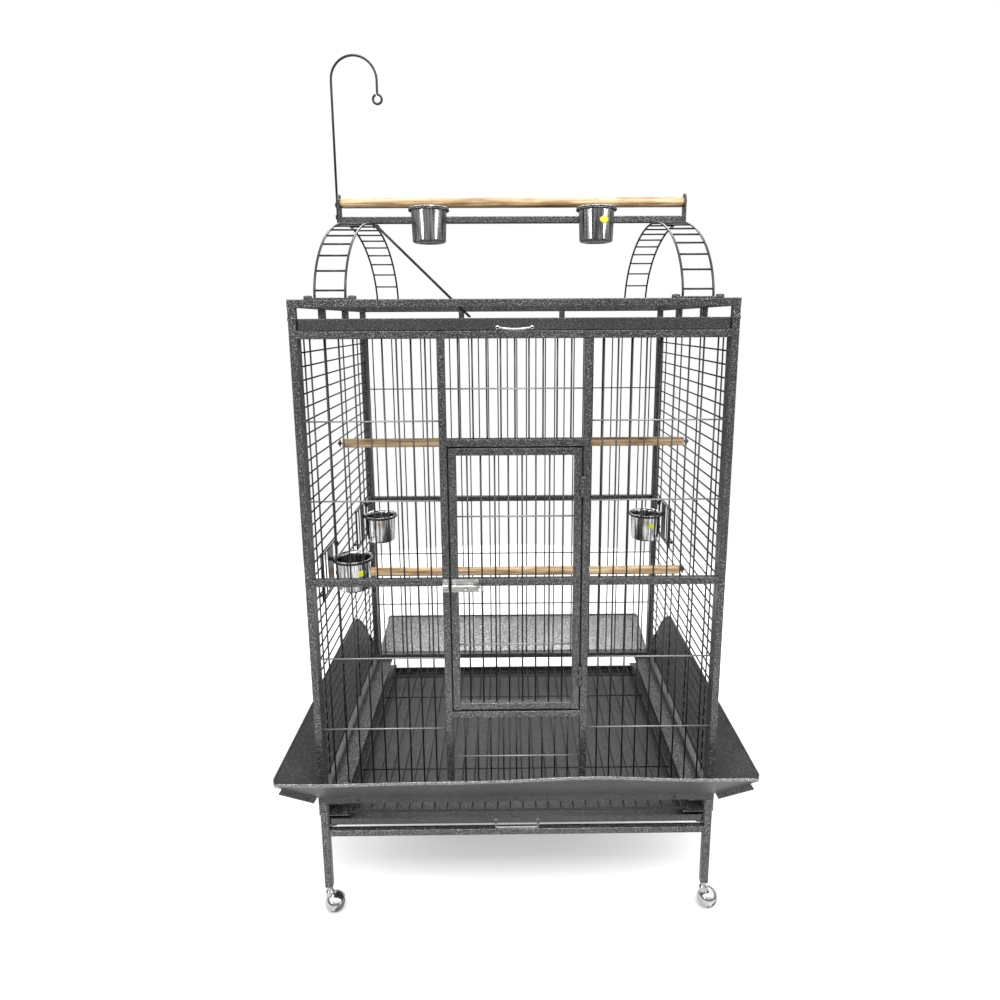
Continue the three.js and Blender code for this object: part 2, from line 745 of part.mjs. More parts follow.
function playArea() {
    playtopRim();
    upperTray();
    place('ladder_arch_left', ladderArch(-archX), powderCoat);
    place('ladder_arch_right', ladderArch(archX), powderCoat);
    place('perch_rail', perchRail(), powderCoat);
    const perch = rod([-railHalf + 0.4, 0, topPerchZ], [railHalf - 0.4, 0, topPerchZ], topPerchRadius, 16);
    place('top_perch', perch, wood);
    place('toy_hook', toyHook(), powderCoat);
    place('top_cup_left', foodCup(), stainless, [-topCupX, topCupY, topCupTop - cupHeight]);
    place('top_cup_right', foodCup(), stainless, [topCupX, topCupY, topCupTop - cupHeight]);
    place('climbing_ladder', climbingLadder(), powderCoat);
}

// ---- perches across the inside ----

// a wooden rod with a stud through each side panel, and a washer and nut outside
function innerPerch() {
    const end = halfWidth + 6;
    const outside = halfWidth - tube / 2 + wire / 2 + 0.4;
    const inside = halfWidth - tube / 2 - wire / 2 - 3;
    const half = [
        [innerPerchRadius, inside], [3, inside], [3, outside], [13, outside], [13, outside + 2],
        [7, outside + 2], [7, end], [0, end],
    ];
    const otherHalf = half.map(([r, x]) => [r, -x]).reverse();
    return turned([...otherHalf, ...half], 12).rotate([0, 90, 0]);
}

function perches() {
    place('inner_perch_upper', innerPerch(), wood, [0, 0, perchZs.upper]);
    place('inner_perch_lower', innerPerch(), wood, [0, -15, perchZs.lower]);
}

stand();
guides();
bottomTray();
floorGrille();
frontPanel();
door();
backPanel();
sidePanel('left_panel', -1, [frontFeederY, rearFeederY]);
sidePanel('right_panel', 1, [rearFeederY]);
roofGrille();
feeders();
seedGuards();
playArea();
perches();

export default cage;
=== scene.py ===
"""Looks for the bird cage on its rolling stand. Metres, +Z up, the door side faces -Y."""

import math
import random

import bmesh
import bpy
from mathutils import Matrix, Vector


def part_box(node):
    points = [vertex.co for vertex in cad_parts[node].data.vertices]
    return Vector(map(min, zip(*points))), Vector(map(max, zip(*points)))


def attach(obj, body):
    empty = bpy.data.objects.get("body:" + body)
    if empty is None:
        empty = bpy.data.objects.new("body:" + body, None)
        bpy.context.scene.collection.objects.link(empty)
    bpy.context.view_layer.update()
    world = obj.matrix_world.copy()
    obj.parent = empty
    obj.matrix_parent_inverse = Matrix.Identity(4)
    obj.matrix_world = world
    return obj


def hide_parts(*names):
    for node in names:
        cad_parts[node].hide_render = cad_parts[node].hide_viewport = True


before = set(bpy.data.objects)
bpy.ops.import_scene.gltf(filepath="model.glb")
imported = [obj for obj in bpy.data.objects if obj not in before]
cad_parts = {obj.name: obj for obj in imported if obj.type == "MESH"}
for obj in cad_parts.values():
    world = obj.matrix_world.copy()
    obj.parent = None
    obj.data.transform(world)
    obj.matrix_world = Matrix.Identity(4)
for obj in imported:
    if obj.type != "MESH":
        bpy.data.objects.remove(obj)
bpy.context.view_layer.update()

# ---- driving sizes, from the frame and from the stock the cage is made of ----

BACK_LOW, BACK_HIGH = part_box("back_panel")
HALF_WIDTH = BACK_HIGH.x
HALF_DEPTH = BACK_HIGH.y
BODY_BOTTOM = BACK_LOW.z
BODY_TOP = BACK_HIGH.z
TUBE = 0.016
LEG = 0.018
WIRE = 0.0018
CROSS = 0.0017
PITCH = 0.0292
FRONT_BARS = 9
DOOR_BARS = 8
BACK_BARS = 30
ROOF_BARS = 29
CLEARANCE = 0.0003
INNER_WIDTH = HALF_WIDTH - TUBE
INNER_DEPTH = HALF_DEPTH - TUBE
FLOOR = BODY_BOTTOM + TUBE
CEILING = BODY_TOP - TUBE
WIRE_DEPTH = TUBE / 2
CROSS_DEPTH = WIRE_DEPTH - WIRE - CROSS
EMBED = 0.001

FRONT = Matrix.Translation((0, -HALF_DEPTH, 0))
BACK = Matrix.Translation((0, HALF_DEPTH, 0)) @ Matrix.Rotation(math.pi, 4, "Z")
RIGHT = Matrix.Translation((HALF_WIDTH, 0, 0)) @ Matrix.Rotation(math.pi / 2, 4, "Z")
LEFT = Matrix.Translation((-HALF_WIDTH, 0, 0)) @ Matrix.Rotation(-math.pi / 2, 4, "Z")


# ---- mesh building ----


class Shape:
    """Points and faces of one piece, gathered part by part."""

    def __init__(self, matrix=None):
        self.matrix = matrix or Matrix.Identity(4)
        self.points = []
        self.faces = []
        self.smooth = []

    def add(self, points, faces, smooth):
        start = len(self.points)
        self.points += [self.matrix @ Vector(p) for p in points]
        self.faces += [[start + i for i in face] for face in faces]
        self.smooth += smooth if isinstance(smooth, list) else [smooth] * len(faces)

    def piece(self, name, body, material, *nodes):
        """Makes the object: it rides a body, takes its material's slot, and stands in for CAD nodes."""
        mesh = bpy.data.meshes.new(name)
        mesh.from_pydata(self.points, [], self.faces)
        mesh.polygons.foreach_set("use_smooth", self.smooth)
        mesh.materials.append(material)
        edit = bmesh.new()
        edit.from_mesh(mesh)
        bmesh.ops.recalc_face_normals(edit, faces=edit.faces)
        edit.to_mesh(mesh)
        edit.free()
        mesh.update()
        obj = bpy.data.objects.new(name, mesh)
        bpy.context.scene.collection.objects.link(obj)
        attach(obj, body)
        if nodes:
            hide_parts(*nodes)


def quads(count, sides, closed=False):
    """Faces between rings of points that follow one another."""
    faces = []
    for i in range(count if closed else count - 1):
        a = i * sides
        b = (i + 1) % count * sides
        for j in range(sides):
            k = (j + 1) % sides
            faces.append([a + j, b + j, b + k, a + k])
    return faces


def skin(shape, rings, smooth=True, closed=False):
    """A surface through rings of points, with flat ends unless it closes on itself."""
    count = len(rings)
    sides = len(rings[0])
    faces = quads(count, sides, closed)
    flags = [smooth] * len(faces)
    if not closed:
        faces.append(list(range(sides)))
        faces.append([(count - 1) * sides + j for j in reversed(range(sides))])
        flags += [False, False]
    shape.add([p for ring in rings for p in ring], faces, flags)


def round_section(radius, sides=10):
    angles = [2 * math.pi * i / sides for i in range(sides)]
    return [(radius * math.cos(a), radius * math.sin(a)) for a in angles]


def square_section(width, height, corner=0.0018, steps=3):
    points = []
    corners = [(1, 1, 0), (-1, 1, 90), (-1, -1, 180), (1, -1, 270)]
    for sx, sy, start in corners:
        for i in range(steps + 1):
            angle = math.radians(start + 90 * i / steps)
            points.append((
                sx * (width / 2 - corner) + corner * math.cos(angle),
                sy * (height / 2 - corner) + corner * math.sin(angle),
            ))
    return points


def sweep(shape, path, section, up=(0, 0, 1), closed=False, smooth=True, upright=False):
    """A section carried along a path, open or closed; an upright one never leans."""
    path = [Vector(p) for p in path]
    count = len(path)
    rings = []
    across = None
    for i, point in enumerate(path):
        ahead = path[(i + 1) % count] if closed or i + 1 < count else point
        behind = path[i - 1] if closed or i > 0 else point
        along = (ahead - behind).normalized()
        if across is None or upright:
            guide = Vector(up)
            if abs(along.dot(guide)) > 0.99:
                guide = Vector((1, 0, 0))
            across = along.cross(guide).normalized()
        across = (across - along * across.dot(along)).normalized()
        other = across.cross(along)
        rings.append([point + across * u + other * v for u, v in section])
    skin(shape, rings, smooth, closed)


def wire(shape, start, end, radius=WIRE, sides=10):
    sweep(shape, [start, end], round_section(radius, sides))


def bar(shape, xs, ys, zs, corner=0.0018):
    """A square tube with rounded edges that fills the box, along its longest side."""
    low = Vector((xs[0], ys[0], zs[0]))
    high = Vector((xs[1], ys[1], zs[1]))
    size = high - low
    start = (low + high) / 2
    end = start.copy()
    axis = max(range(3), key=lambda i: size[i])
    start[axis] = low[axis]
    end[axis] = high[axis]
    width, height = [size[i] for i in range(3) if i != axis]
    up = (0, 1, 0) if axis == 2 else (0, 0, 1)
    sweep(shape, [start, end], square_section(width, height, corner), up=up, smooth=False)


def aim(centre, direction):
    """The matrix that turns +Z to a direction and moves the origin to a centre."""
    turn = Vector((0, 0, 1)).rotation_difference(Vector(direction).normalized())
    return Matrix.Translation(centre) @ turn.to_matrix().to_4x4()


def lathe(shape, profile, matrix=None, sides=32, smooth=True):
    """A solid of revolution about +Z from [radius, height] points, before the matrix."""
    matrix = matrix or Matrix.Identity(4)
    points = []
    rings = []
    for radius, height in profile:
        if radius < 1e-6:
            rings.append([len(points)] * sides)
            points.append(matrix @ Vector((0, 0, height)))
            continue
        rings.append([len(points) + i for i in range(sides)])
        for i in range(sides):
            angle = 2 * math.pi * i / sides
            points.append(matrix @ Vector((radius * math.cos(angle), radius * math.sin(angle), height)))
    faces = []
    for low, high in zip(rings, rings[1:]):
        for i in range(sides):
            j = (i + 1) % sides
            face = [low[i], low[j], high[j], high[i]]
            faces.append(list(dict.fromkeys(face)))
    shape.add(points, [f for f in faces if len(f) > 2], smooth)


def arc(centre, radius, start, end, steps):
    """Points on an arc in a plane, as pairs, angles in degrees."""
    angles = [math.radians(start + (end - start) * i / steps) for i in range(steps + 1)]
    return [(centre[0] + radius * math.cos(a), centre[1] + radius * math.sin(a)) for a in angles]


def dome_bolt(shape, centre, direction, radius=0.0045, height=0.003):
    """A round-headed bolt with a hex recess left as a shallow dimple."""
    skirt = 0.0006
    profile = [(0, -0.001), (radius, -0.001), (radius, skirt)]
    for degrees in (20, 40, 60):
        angle = math.radians(degrees)
        profile.append((radius * math.cos(angle), skirt + (height - skirt) * math.sin(angle)))
    profile += [(radius * 0.35, height * 0.95), (radius * 0.25, height * 0.45), (0, height * 0.45)]
    lathe(shape, profile, aim(centre, direction), 16)


def hex_nut(shape, centre, direction, radius, height):
    profile = [(0, 0), (radius * 0.9, 0), (radius, height * 0.15), (radius, height * 0.85),
               (radius * 0.9, height), (0, height)]
    lathe(shape, profile, aim(centre, direction), 6, smooth=False)


def spread(count, pitch=PITCH, centre=0.0):
    return [centre + (i - (count - 1) / 2) * pitch for i in range(count)]


def around(centre, size):
    return (centre - size / 2, centre + size / 2)


def beside(side, a, b):
    """A range from a to b on the side that the sign gives."""
    return (min(side * a, side * b), max(side * a, side * b))


def polar(radius, degrees):
    angles = [math.radians(d) for d in degrees]
    return [(radius * math.cos(a), radius * math.sin(a)) for a in angles]


def middle_of(node):
    low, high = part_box(node)
    return (low + high) / 2


# ---- materials ----


class Nodes:
    """A node tree, and shorthand for the nodes that the materials and the world need."""

    def __init__(self, holder, shader):
        holder.use_nodes = True
        self.holder = holder
        self.tree = holder.node_tree
        self.shader = self.tree.nodes[shader]

    def give(self, socket, value):
        if isinstance(value, bpy.types.NodeSocket):
            self.tree.links.new(value, socket)
        else:
            socket.default_value = value

    def set(self, **values):
        """Sets or links the shader's own sockets; an underscore stands for a space."""
        for key, value in values.items():
            self.give(self.shader.inputs[key.replace("_", " ")], value)

    def add(self, kind, output, **values):
        """Adds a node, sets or links its sockets, and returns one output."""
        node = self.tree.nodes.new("ShaderNode" + kind)
        for key, value in values.items():
            self.give(node.inputs[key.replace("_", " ")], value)
        return node.outputs[output]


class Material(Nodes):
    """A procedural material, laid out in the piece's own coordinates."""

    def __init__(self, name):
        super().__init__(bpy.data.materials.new(name), "Principled BSDF")
        self.place = self.add("TexCoord", "Object")

    def scaled(self, *scale):
        return self.add("Mapping", "Vector", Scale=scale, Vector=self.place)

    def noise(self, scale, detail=2.0, roughness=0.5, vector=None):
        return self.add("TexNoise", "Fac", Scale=scale, Detail=detail, Roughness=roughness,
                        Vector=vector or self.place)

    def cells(self, scale, vector=None, feature="SMOOTH_F1"):
        distance = self.add("TexVoronoi", "Distance", Scale=scale, Vector=vector or self.place)
        distance.node.feature = feature
        return distance

    def ramp(self, value, *stops):
        color = self.add("ValToRGB", "Color", Fac=value)
        elements = color.node.color_ramp.elements
        while len(elements) < len(stops):
            elements.new(0.5)
        for element, (position, tone) in zip(elements, stops):
            element.position = position
            element.color = (*tone, 1.0)
        return color

    def multiply(self, factor, first, second):
        node = self.tree.nodes.new("ShaderNodeMix")
        node.data_type = "RGBA"
        node.blend_type = "MULTIPLY"
        for index, value in ((0, factor), (6, first), (7, second)):
            self.give(node.inputs[index], value)
        return node.outputs[2]

    def finish(self, color, shine_from, shine, bumps, strength, distance, **values):
        """Links color, roughness and bump, sets the rest, and returns the material."""
        low, high = shine
        roughness = self.add("MapRange", "Result", Value=shine_from, To_Min=low, To_Max=high)
        normal = self.add("Bump", "Normal", Strength=strength, Distance=distance, Height=bumps)
        self.set(Base_Color=color, Roughness=roughness, Normal=normal, **values)
        return self.holder


def grey(value, warmth=0.0):
    return (value * (1 + warmth), value, value * (1 - warmth))


def hammertone(name, dark, middle, light, metallic=0.5, shine=(0.28, 0.46), specular=0.5):
    """Hammertone powder coat: dark skin broken by fine silvery flecks, softly lumpy."""
    m = Material(name)
    flecks = m.noise(400, 3.0, 0.75)
    lumps = m.noise(330, 2.0, 0.6)
    broad = m.noise(7.0, 3.0)
    tone = m.ramp(flecks, (0.38, grey(dark)), (0.48, grey(middle)), (0.56, grey(middle * 1.5)),
                  (0.66, grey(light)))
    patchy = m.ramp(broad, (0.3, grey(0.78)), (0.7, grey(1.0)))
    return m.finish(m.multiply(1.0, tone, patchy), lumps, shine, lumps, 0.7, 0.0007,
                    Metallic=metallic, Specular_IOR_Level=specular)


def coated_wire(name, dark, light):
    """Plain powder coat on thin wire, finely mottled."""
    m = Material(name)
    fine = m.noise(700, 2.0)
    color = m.ramp(fine, (0.35, grey(dark)), (0.65, grey(light)))
    return m.finish(color, fine, (0.26, 0.42), fine, 0.2, 0.0002, Metallic=0.6)


def polished_steel(name, dark, bright, shine):
    """Drawn and polished metal: narrow upright light and dark streaks in its colour as painted
    reflections, and fine marks that run round it.
    """
    m = Material(name)
    # painted reflection: upright streaks in the base colour, which also set the roughness with the marks
    streaks = m.noise(1.0, 3.0, 0.7, m.scaled(260, 260, 2))
    marks = m.noise(1.0, 3.0, 0.6, m.scaled(3, 3, 900))
    color = m.ramp(streaks, (0.42, grey(dark)), (0.58, grey(bright)))
    both = m.add("Math", "Value")
    both.node.operation = "MULTIPLY"
    m.give(both.node.inputs[0], marks)
    m.give(both.node.inputs[1], streaks)
    return m.finish(color, both, shine, marks, 0.05, 0.0002, Metallic=1.0)


def plated(name, tone, warmth, shine):
    """Plated steel with faint clouding and pin-sized specks."""
    m = Material(name)
    cloud = m.noise(60, 4.0, 0.6)
    color = m.ramp(cloud, (0.3, grey(tone * 0.78, warmth)), (0.7, grey(tone, warmth)))
    return m.finish(color, cloud, shine, m.cells(900), 0.04, 0.0002, Metallic=1.0)


def pale_wood(name):
    """Straight pale grain along X with darker streaks and a few knots."""
    m = Material(name)
    grain = m.noise(1.0, 5.0, 0.65, m.scaled(5, 210, 210))
    figure = m.noise(1.0, 3.0, 0.55, m.scaled(9, 55, 55))
    fibres = m.noise(1.0, 2.0, 0.5, m.scaled(40, 900, 900))
    knots = m.cells(1.0, m.scaled(9, 34, 34), "F1")
    base = m.ramp(grain, (0.36, (0.27, 0.155, 0.07)), (0.5, (0.52, 0.37, 0.21)),
                  (0.62, (0.68, 0.54, 0.35)))
    streaks = m.ramp(figure, (0.36, (0.55, 0.44, 0.34)), (0.52, grey(1.0)))
    eyes = m.ramp(knots, (0.06, (0.30, 0.19, 0.10)), (0.17, (0.80, 0.70, 0.60)), (0.24, grey(1.0)))
    color = m.multiply(0.85, m.multiply(0.85, base, streaks), eyes)
    return m.finish(color, grain, (0.62, 0.48), fibres, 0.25, 0.0004)


def moulded(name, color, shine):
    """Plain moulded plastic or rubber."""
    m = Material(name)
    fine = m.noise(600, 3.0)
    tone = m.ramp(fine, (0.3, tuple(c * 0.8 for c in color)), (0.7, color))
    return m.finish(tone, fine, shine, fine, 0.1, 0.0002)


coat = hammertone("hammertone_coat", 0.012, 0.056, 0.46)
sheet_coat = hammertone("hammertone_sheet", 0.020, 0.044, 0.19, 0.35, (0.36, 0.52), 0.35)
# Painted shade: a darker, less reflective copy of the sheet coat for the front and side guards.
painted_shade_guard_coat = hammertone("hammertone_guard_painted_shade", 0.018, 0.042, 0.18, 0.0, (0.34, 0.50), 0.25)
# Painted sheen: a far lighter, shinier copy of the sheet coat for the rear guard.
painted_sheen_rear_coat = hammertone("hammertone_rear_guard_painted_sheen", 0.050, 0.170, 0.80, 0.80, (0.24, 0.36))
# A lighter, shinier copy of the coat for the guards' hems: a painted highlight along their lips.
painted_highlight_hem_coat = hammertone("hammertone_hem_painted_highlight", 0.050, 0.170, 0.70, 0.70)
wire_coat = coated_wire("coated_wire", 0.018, 0.038)
# A far lighter copy of the wire coat for the cross wires and the lower tray's handle: a painted
# highlight for the overhead light they catch.
painted_highlight_wire_coat = coated_wire("painted_highlight_coated_wire", 0.15, 0.30)
steel = polished_steel("polished_stainless", 0.16, 0.72, (0.12, 0.34))
chrome = plated("caster_chrome", 0.50, 0.0, (0.05, 0.14))
zinc = plated("zinc_plate", 0.50, 0.02, (0.24, 0.42))
bolt_zinc = plated("dull_zinc", 0.10, 0.02, (0.34, 0.48))
wood = pale_wood("pale_perch_wood")
rubber = moulded("wheel_rubber", (0.10, 0.10, 0.10), (0.40, 0.55))
label = moulded("blank_label", (0.66, 0.72, 0.05), (0.3, 0.45))

MATERIALS_OF_SLOTS = {
    "powder_coat": (coat, wire_coat, painted_highlight_wire_coat),
    "coated_sheet": (sheet_coat, painted_shade_guard_coat, painted_sheen_rear_coat, painted_highlight_hem_coat),
    "zinc": (zinc, bolt_zinc),
    "caster_chrome": (chrome,),
    "caster_rubber": (rubber,),
    "stainless": (steel, label),
    "wood": (wood,),
}
SLOTS = {material.name: slot for slot, group in MATERIALS_OF_SLOTS.items() for material in group}


# ---- panels: uprights, cross wires and tubes in a panel's own plane ----


def uprights(shape, xs, low, high):
    for x in xs:
        wire(shape, (x, WIRE_DEPTH, low - EMBED), (x, WIRE_DEPTH, high + EMBED))


def cross_wires(shape, zs, left, right):
    for z in zs:
        wire(shape, (left - EMBED, CROSS_DEPTH, z), (right + EMBED, CROSS_DEPTH, z), CROSS)


def cross_piece(name, body, matrix, zs, left, right):
    shape = Shape(matrix)
    cross_wires(shape, zs, left, right)
    # the cross wires' lighter coat is a painted highlight
    shape.piece(name, body, painted_highlight_wire_coat)


PANEL = (0.0, TUBE)
FLOOR_RAIL = (BODY_BOTTOM, FLOOR)
CEILING_RAIL = (CEILING, BODY_TOP)
COLUMN_X = 0.1515
DOORWAY_HALF = COLUMN_X - TUBE / 2
DOOR_LOW, DOOR_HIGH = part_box("cage_door")
DOOR_HALF = -DOOR_LOW.x
SILL_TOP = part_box("front_panel_under_door")[1].z
HEADER_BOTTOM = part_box("front_panel_over_door")[0].z
MID_RAIL = 0.832
CROSS_ZS = (0.4815, 0.654, 1.015, 1.186)


def front_side(name, side):
    """Corner post, column, rails and bars on one side of the doorway."""
    tubes = Shape(FRONT)
    across = beside(side, COLUMN_X + TUBE / 2 - EMBED, INNER_WIDTH + EMBED)
    bar(tubes, beside(side, INNER_WIDTH, HALF_WIDTH), PANEL, (BODY_BOTTOM, BODY_TOP))
    for rail in (FLOOR_RAIL, CEILING_RAIL, around(MID_RAIL, TUBE)):
        bar(tubes, across, PANEL, rail)
    bar(tubes, around(side * COLUMN_X, TUBE), PANEL, (FLOOR - EMBED, CEILING + EMBED))
    for rail in (FLOOR_RAIL, CEILING_RAIL):
        bar(tubes, beside(side, DOORWAY_HALF, COLUMN_X + TUBE / 2), PANEL, rail)
    wires = Shape(FRONT)
    middle = side * (COLUMN_X + HALF_WIDTH - TUBE / 2) / 2
    uprights(wires, spread(FRONT_BARS, PITCH, middle), FLOOR, CEILING)
    cross_piece(name + "_cross_wires", "cage", FRONT, CROSS_ZS, *across)
    bolts = Shape(FRONT)
    post_x = side * (HALF_WIDTH - TUBE / 2)
    for z in (MID_RAIL, BODY_BOTTOM + 0.03):
        dome_bolt(bolts, (post_x, 0, z), (0, -1, 0))
    if side < 0:
        latch_keeper()
    else:
        column_hinges(tubes)
    tubes.piece(name + "_tubes", "cage", coat, name)
    wires.piece(name + "_wires", "cage", wire_coat)
    bolts.piece(name + "_bolts", "cage", bolt_zinc)


HINGE_X = (DOOR_HALF + DOORWAY_HALF) / 2
HINGE_Y = -0.0048
HINGE_HEIGHT = 0.045
HINGE_THIRD = HINGE_HEIGHT / 3
KNUCKLE_HEIGHT = HINGE_THIRD - 0.0008
KNUCKLE_RADIUS = 0.0045
HINGE_ZS = (0.612, 1.046)


def knuckle(shape, z, inner):
    """One of a hinge's three knuckles, solid or bored for the pin."""
    low = z - KNUCKLE_HEIGHT / 2
    high = z + KNUCKLE_HEIGHT / 2
    ease = 0.0004
    profile = [(inner, low), (KNUCKLE_RADIUS - ease, low), (KNUCKLE_RADIUS, low + ease),
               (KNUCKLE_RADIUS, high - ease), (KNUCKLE_RADIUS - ease, high), (inner, high)]
    if inner > 0:
        profile.append(profile[0])
    lathe(shape, profile, Matrix.Translation((HINGE_X, HINGE_Y, 0)), 20)


def hinge_leaf(shape, x0, x1, z):
    """The short plate that holds a knuckle to its tube."""
    bar(shape, (HINGE_X + x0, HINGE_X + x1), (HINGE_Y - 0.001, EMBED), around(z, KNUCKLE_HEIGHT),
        0.0003)


def column_hinges(shape):
    """The outer knuckles of both hinges, and their pins with small caps."""
    for z in HINGE_ZS:
        for end in (-1, 1):
            knuckle(shape, z + end * HINGE_THIRD, 0)
            hinge_leaf(shape, 0.0015, 0.0062, z + end * HINGE_THIRD)
        wire(shape, (HINGE_X, HINGE_Y, z - HINGE_THIRD), (HINGE_X, HINGE_Y, z + HINGE_THIRD), 0.002)
        for end in (-1, 1):
            top = z + end * (HINGE_HEIGHT / 2 - 0.0004)
            lathe(shape, [(0, 0), (0.003, 0), (0.0026, 0.0007), (0, 0.001)],
                  aim((HINGE_X, HINGE_Y, top), (0, 0, end)), 16)


LATCH_Z = 0.826
LATCH_Y = -0.007
BOLT_RADIUS = 0.0036


def latch_keeper():
    """A bent strap on the left column with two screws, and a bow that the bolt slides into."""
    strap = Shape(FRONT)
    centre = -0.152
    width = 0.0128
    thick = 0.0016
    foot = 0.0152
    hole = BOLT_RADIUS + 0.0007
    bow = arc((LATCH_Y, 0), hole + thick / 2, -90, -270, 10)
    lower = [(-thick / 2, -foot), (-thick / 2, -hole - thick)]
    upper = [(-thick / 2, hole + thick), (-thick / 2, foot)]
    points = [(centre, y, LATCH_Z + z) for y, z in lower + bow + upper]
    sweep(strap, points, square_section(thick, width, 0.0003), up=(1, 0, 0), smooth=False)
    for end in (-1, 1):
        dome_bolt(strap, (centre, -thick, LATCH_Z + end * 0.0108), (0, -1, 0), 0.0032, 0.0018)
    strap.piece("latch_keeper", "cage", zinc)


def door():
    """The door's frame with the hinges' middle knuckles, and its bars."""
    tubes = Shape(FRONT)
    low, high = DOOR_LOW.z, DOOR_HIGH.z
    inner = DOOR_HALF - TUBE
    for side in (-1, 1):
        bar(tubes, beside(side, inner, DOOR_HALF), PANEL, (low, high))
    for z in (low + TUBE / 2, MID_RAIL, high - TUBE / 2):
        bar(tubes, (-inner - EMBED, inner + EMBED), PANEL, around(z, TUBE))
    for z in HINGE_ZS:
        knuckle(tubes, z, 0.0025)
        hinge_leaf(tubes, -0.0075, -0.0034, z)
    wires = Shape(FRONT)
    uprights(wires, spread(DOOR_BARS), low + TUBE, high - TUBE)
    cross_piece("door_cross_wires", "door", FRONT, (0.686, 0.980), -inner, inner)
    tubes.piece("door_tubes", "door", coat, "cage_door")
    wires.piece("door_wires", "door", wire_coat)


def latch_barrel(shape, x0, x1):
    """A length of sheet rolled over the bolt, open at the back where it meets the plate."""
    hole = BOLT_RADIUS + 0.0005
    outer = hole + 0.0013
    back = -0.0014
    outside = [(back, -outer * 0.9)] + arc((LATCH_Y, 0), outer, -60, -300, 16) + [(back, outer * 0.9)]
    inside = [(back, -hole * 0.75)] + arc((LATCH_Y, 0), hole, -60, -300, 16) + [(back, hole * 0.75)]
    count = len(outside)
    points = [(x, y, LATCH_Z + z) for x in (x0, x1) for y, z in outside + inside]
    faces = []
    for i in range(count - 1):
        a, b = i, count + i
        c, d = a + 2 * count, b + 2 * count
        faces += [[a, a + 1, b + 1, b], [c, c + 1, d + 1, d], [a, a + 1, c + 1, c], [b, b + 1, d + 1, d]]
    for i in (0, count - 1):
        faces.append([i, count + i, 3 * count + i, 2 * count + i])
    shape.add(points, faces, False)


def latch_plate():
    """Plate with raised edges, rolled barrel with a gap for the knob, and four screws."""
    plate = Shape(FRONT)
    left, right = -0.139, -0.080
    height = 0.0292
    thick = 0.0014
    face = -thick - 0.0003
    edge = 0.0018
    bar(plate, (left, right), (face, -0.0003), around(LATCH_Z, height), 0.0006)
    for end in (-1, 1):
        edge_z = LATCH_Z + end * (height / 2 - 0.0010)
        bar(plate, (left, right), (-thick - 0.0011, -thick), around(edge_z, edge), 0.0003)
    for x0, x1 in ((left + 0.003, -0.1290), (-0.1035, -0.0925)):
        latch_barrel(plate, x0, x1)
    for x in (left + 0.006, right - 0.006):
        for end in (-1, 1):
            dome_bolt(plate, (x, face, LATCH_Z + end * 0.0104), (0, -1, 0), 0.0024, 0.0014)
    plate.piece("latch_body", "door", zinc, "latch_plate")


def latch_bolt():
    """The bolt with its bent end, and the knob that slides it."""
    bolt = Shape(FRONT)
    tip = -0.1394
    tail = -0.078
    ease = 0.0008
    profile = [(0, tip), (BOLT_RADIUS - ease, tip), (BOLT_RADIUS, tip + ease), (BOLT_RADIUS, tail),
               (0, tail)]
    axis = Matrix.Translation((0, LATCH_Y, LATCH_Z)) @ Matrix.Rotation(math.pi / 2, 4, "Y")
    lathe(bolt, profile, axis)
    turn = 0.005
    path = [(tail - 0.002, 0)] + arc((tail, -turn), turn, 90, 0, 8) + [(tail + turn + 0.0006, -0.012)]
    sweep(bolt, [(x, LATCH_Y, LATCH_Z + z) for x, z in path], round_section(BOLT_RADIUS - 0.0006, 12),
          up=(0, 1, 0))
    knob = [(0, 0), (0.0024, 0), (0.0024, 0.0062), (0.0042, 0.0074), (0.0046, 0.0098), (0.0042, 0.0122),
            (0.0030, 0.0134), (0, 0.0138)]
    lathe(bolt, knob, aim((-0.108, LATCH_Y - 0.001, LATCH_Z), (0, -1, -0.35)), 20)
    bolt.piece("latch_bolt_and_knob", "latch_bolt", zinc, "latch_bolt")


def doorway_pieces():
    """What stands over and under the door between the columns."""
    across = (-DOORWAY_HALF - EMBED, DOORWAY_HALF + EMBED)
    inside = (-DOORWAY_HALF + 0.002, DOORWAY_HALF - 0.002)
    header = (HEADER_BOTTOM, HEADER_BOTTOM + TUBE)
    sill = (SILL_TOP - TUBE, SILL_TOP)
    parts = (("over", header, CEILING_RAIL, 1.253), ("under", FLOOR_RAIL, sill, 0.410))
    for word, lower, upper, cross_z in parts:
        tubes = Shape(FRONT)
        bar(tubes, across, PANEL, lower)
        bar(tubes, across, PANEL, upper)
        if word == "under":
            dome_bolt(tubes, (0, 0, SILL_TOP - TUBE / 2), (0, -1, 0), 0.004, 0.0022)
        tubes.piece(word + "_door_tubes", "cage", coat, "front_panel_" + word + "_door")
        wires = Shape(FRONT)
        uprights(wires, spread(FRONT_BARS), lower[1], upper[0])
        cross_piece(word + "_door_cross_wire", "cage", FRONT, (cross_z,), *inside)
        wires.piece(word + "_door_wires", "cage", wire_coat)


def door_stops_and_gap_shade():
    """Flat strips behind the gap round the door, welded to the inside of the doorway: door stops, and
    dark coat behind the gap as painted shade.
    """
    stops = Shape(FRONT)
    lap = 0.006
    gap = (DOOR_HALF + DOORWAY_HALF) / 2
    for side in (-1, 1):
        bar(stops, beside(side, DOOR_HALF - lap, DOORWAY_HALF + 0.007), (TUBE + 0.0003, TUBE + 0.0023),
            (SILL_TOP - lap, HEADER_BOTTOM + lap), 0.0004)
        bar(stops, beside(side, gap + 0.004, DOORWAY_HALF + lap), (TUBE - 0.001, TUBE + 0.0008),
            (SILL_TOP - 0.004, HEADER_BOTTOM + 0.004), 0.0003)
    for zs in ((SILL_TOP - 0.008, DOOR_LOW.z + lap), (DOOR_HIGH.z - lap, HEADER_BOTTOM + 0.008)):
        bar(stops, (-DOORWAY_HALF, DOORWAY_HALF), (TUBE + 0.0004, TUBE + 0.0022), zs, 0.0004)
    stops.piece("door_stops_and_gap_shade", "cage", coat)


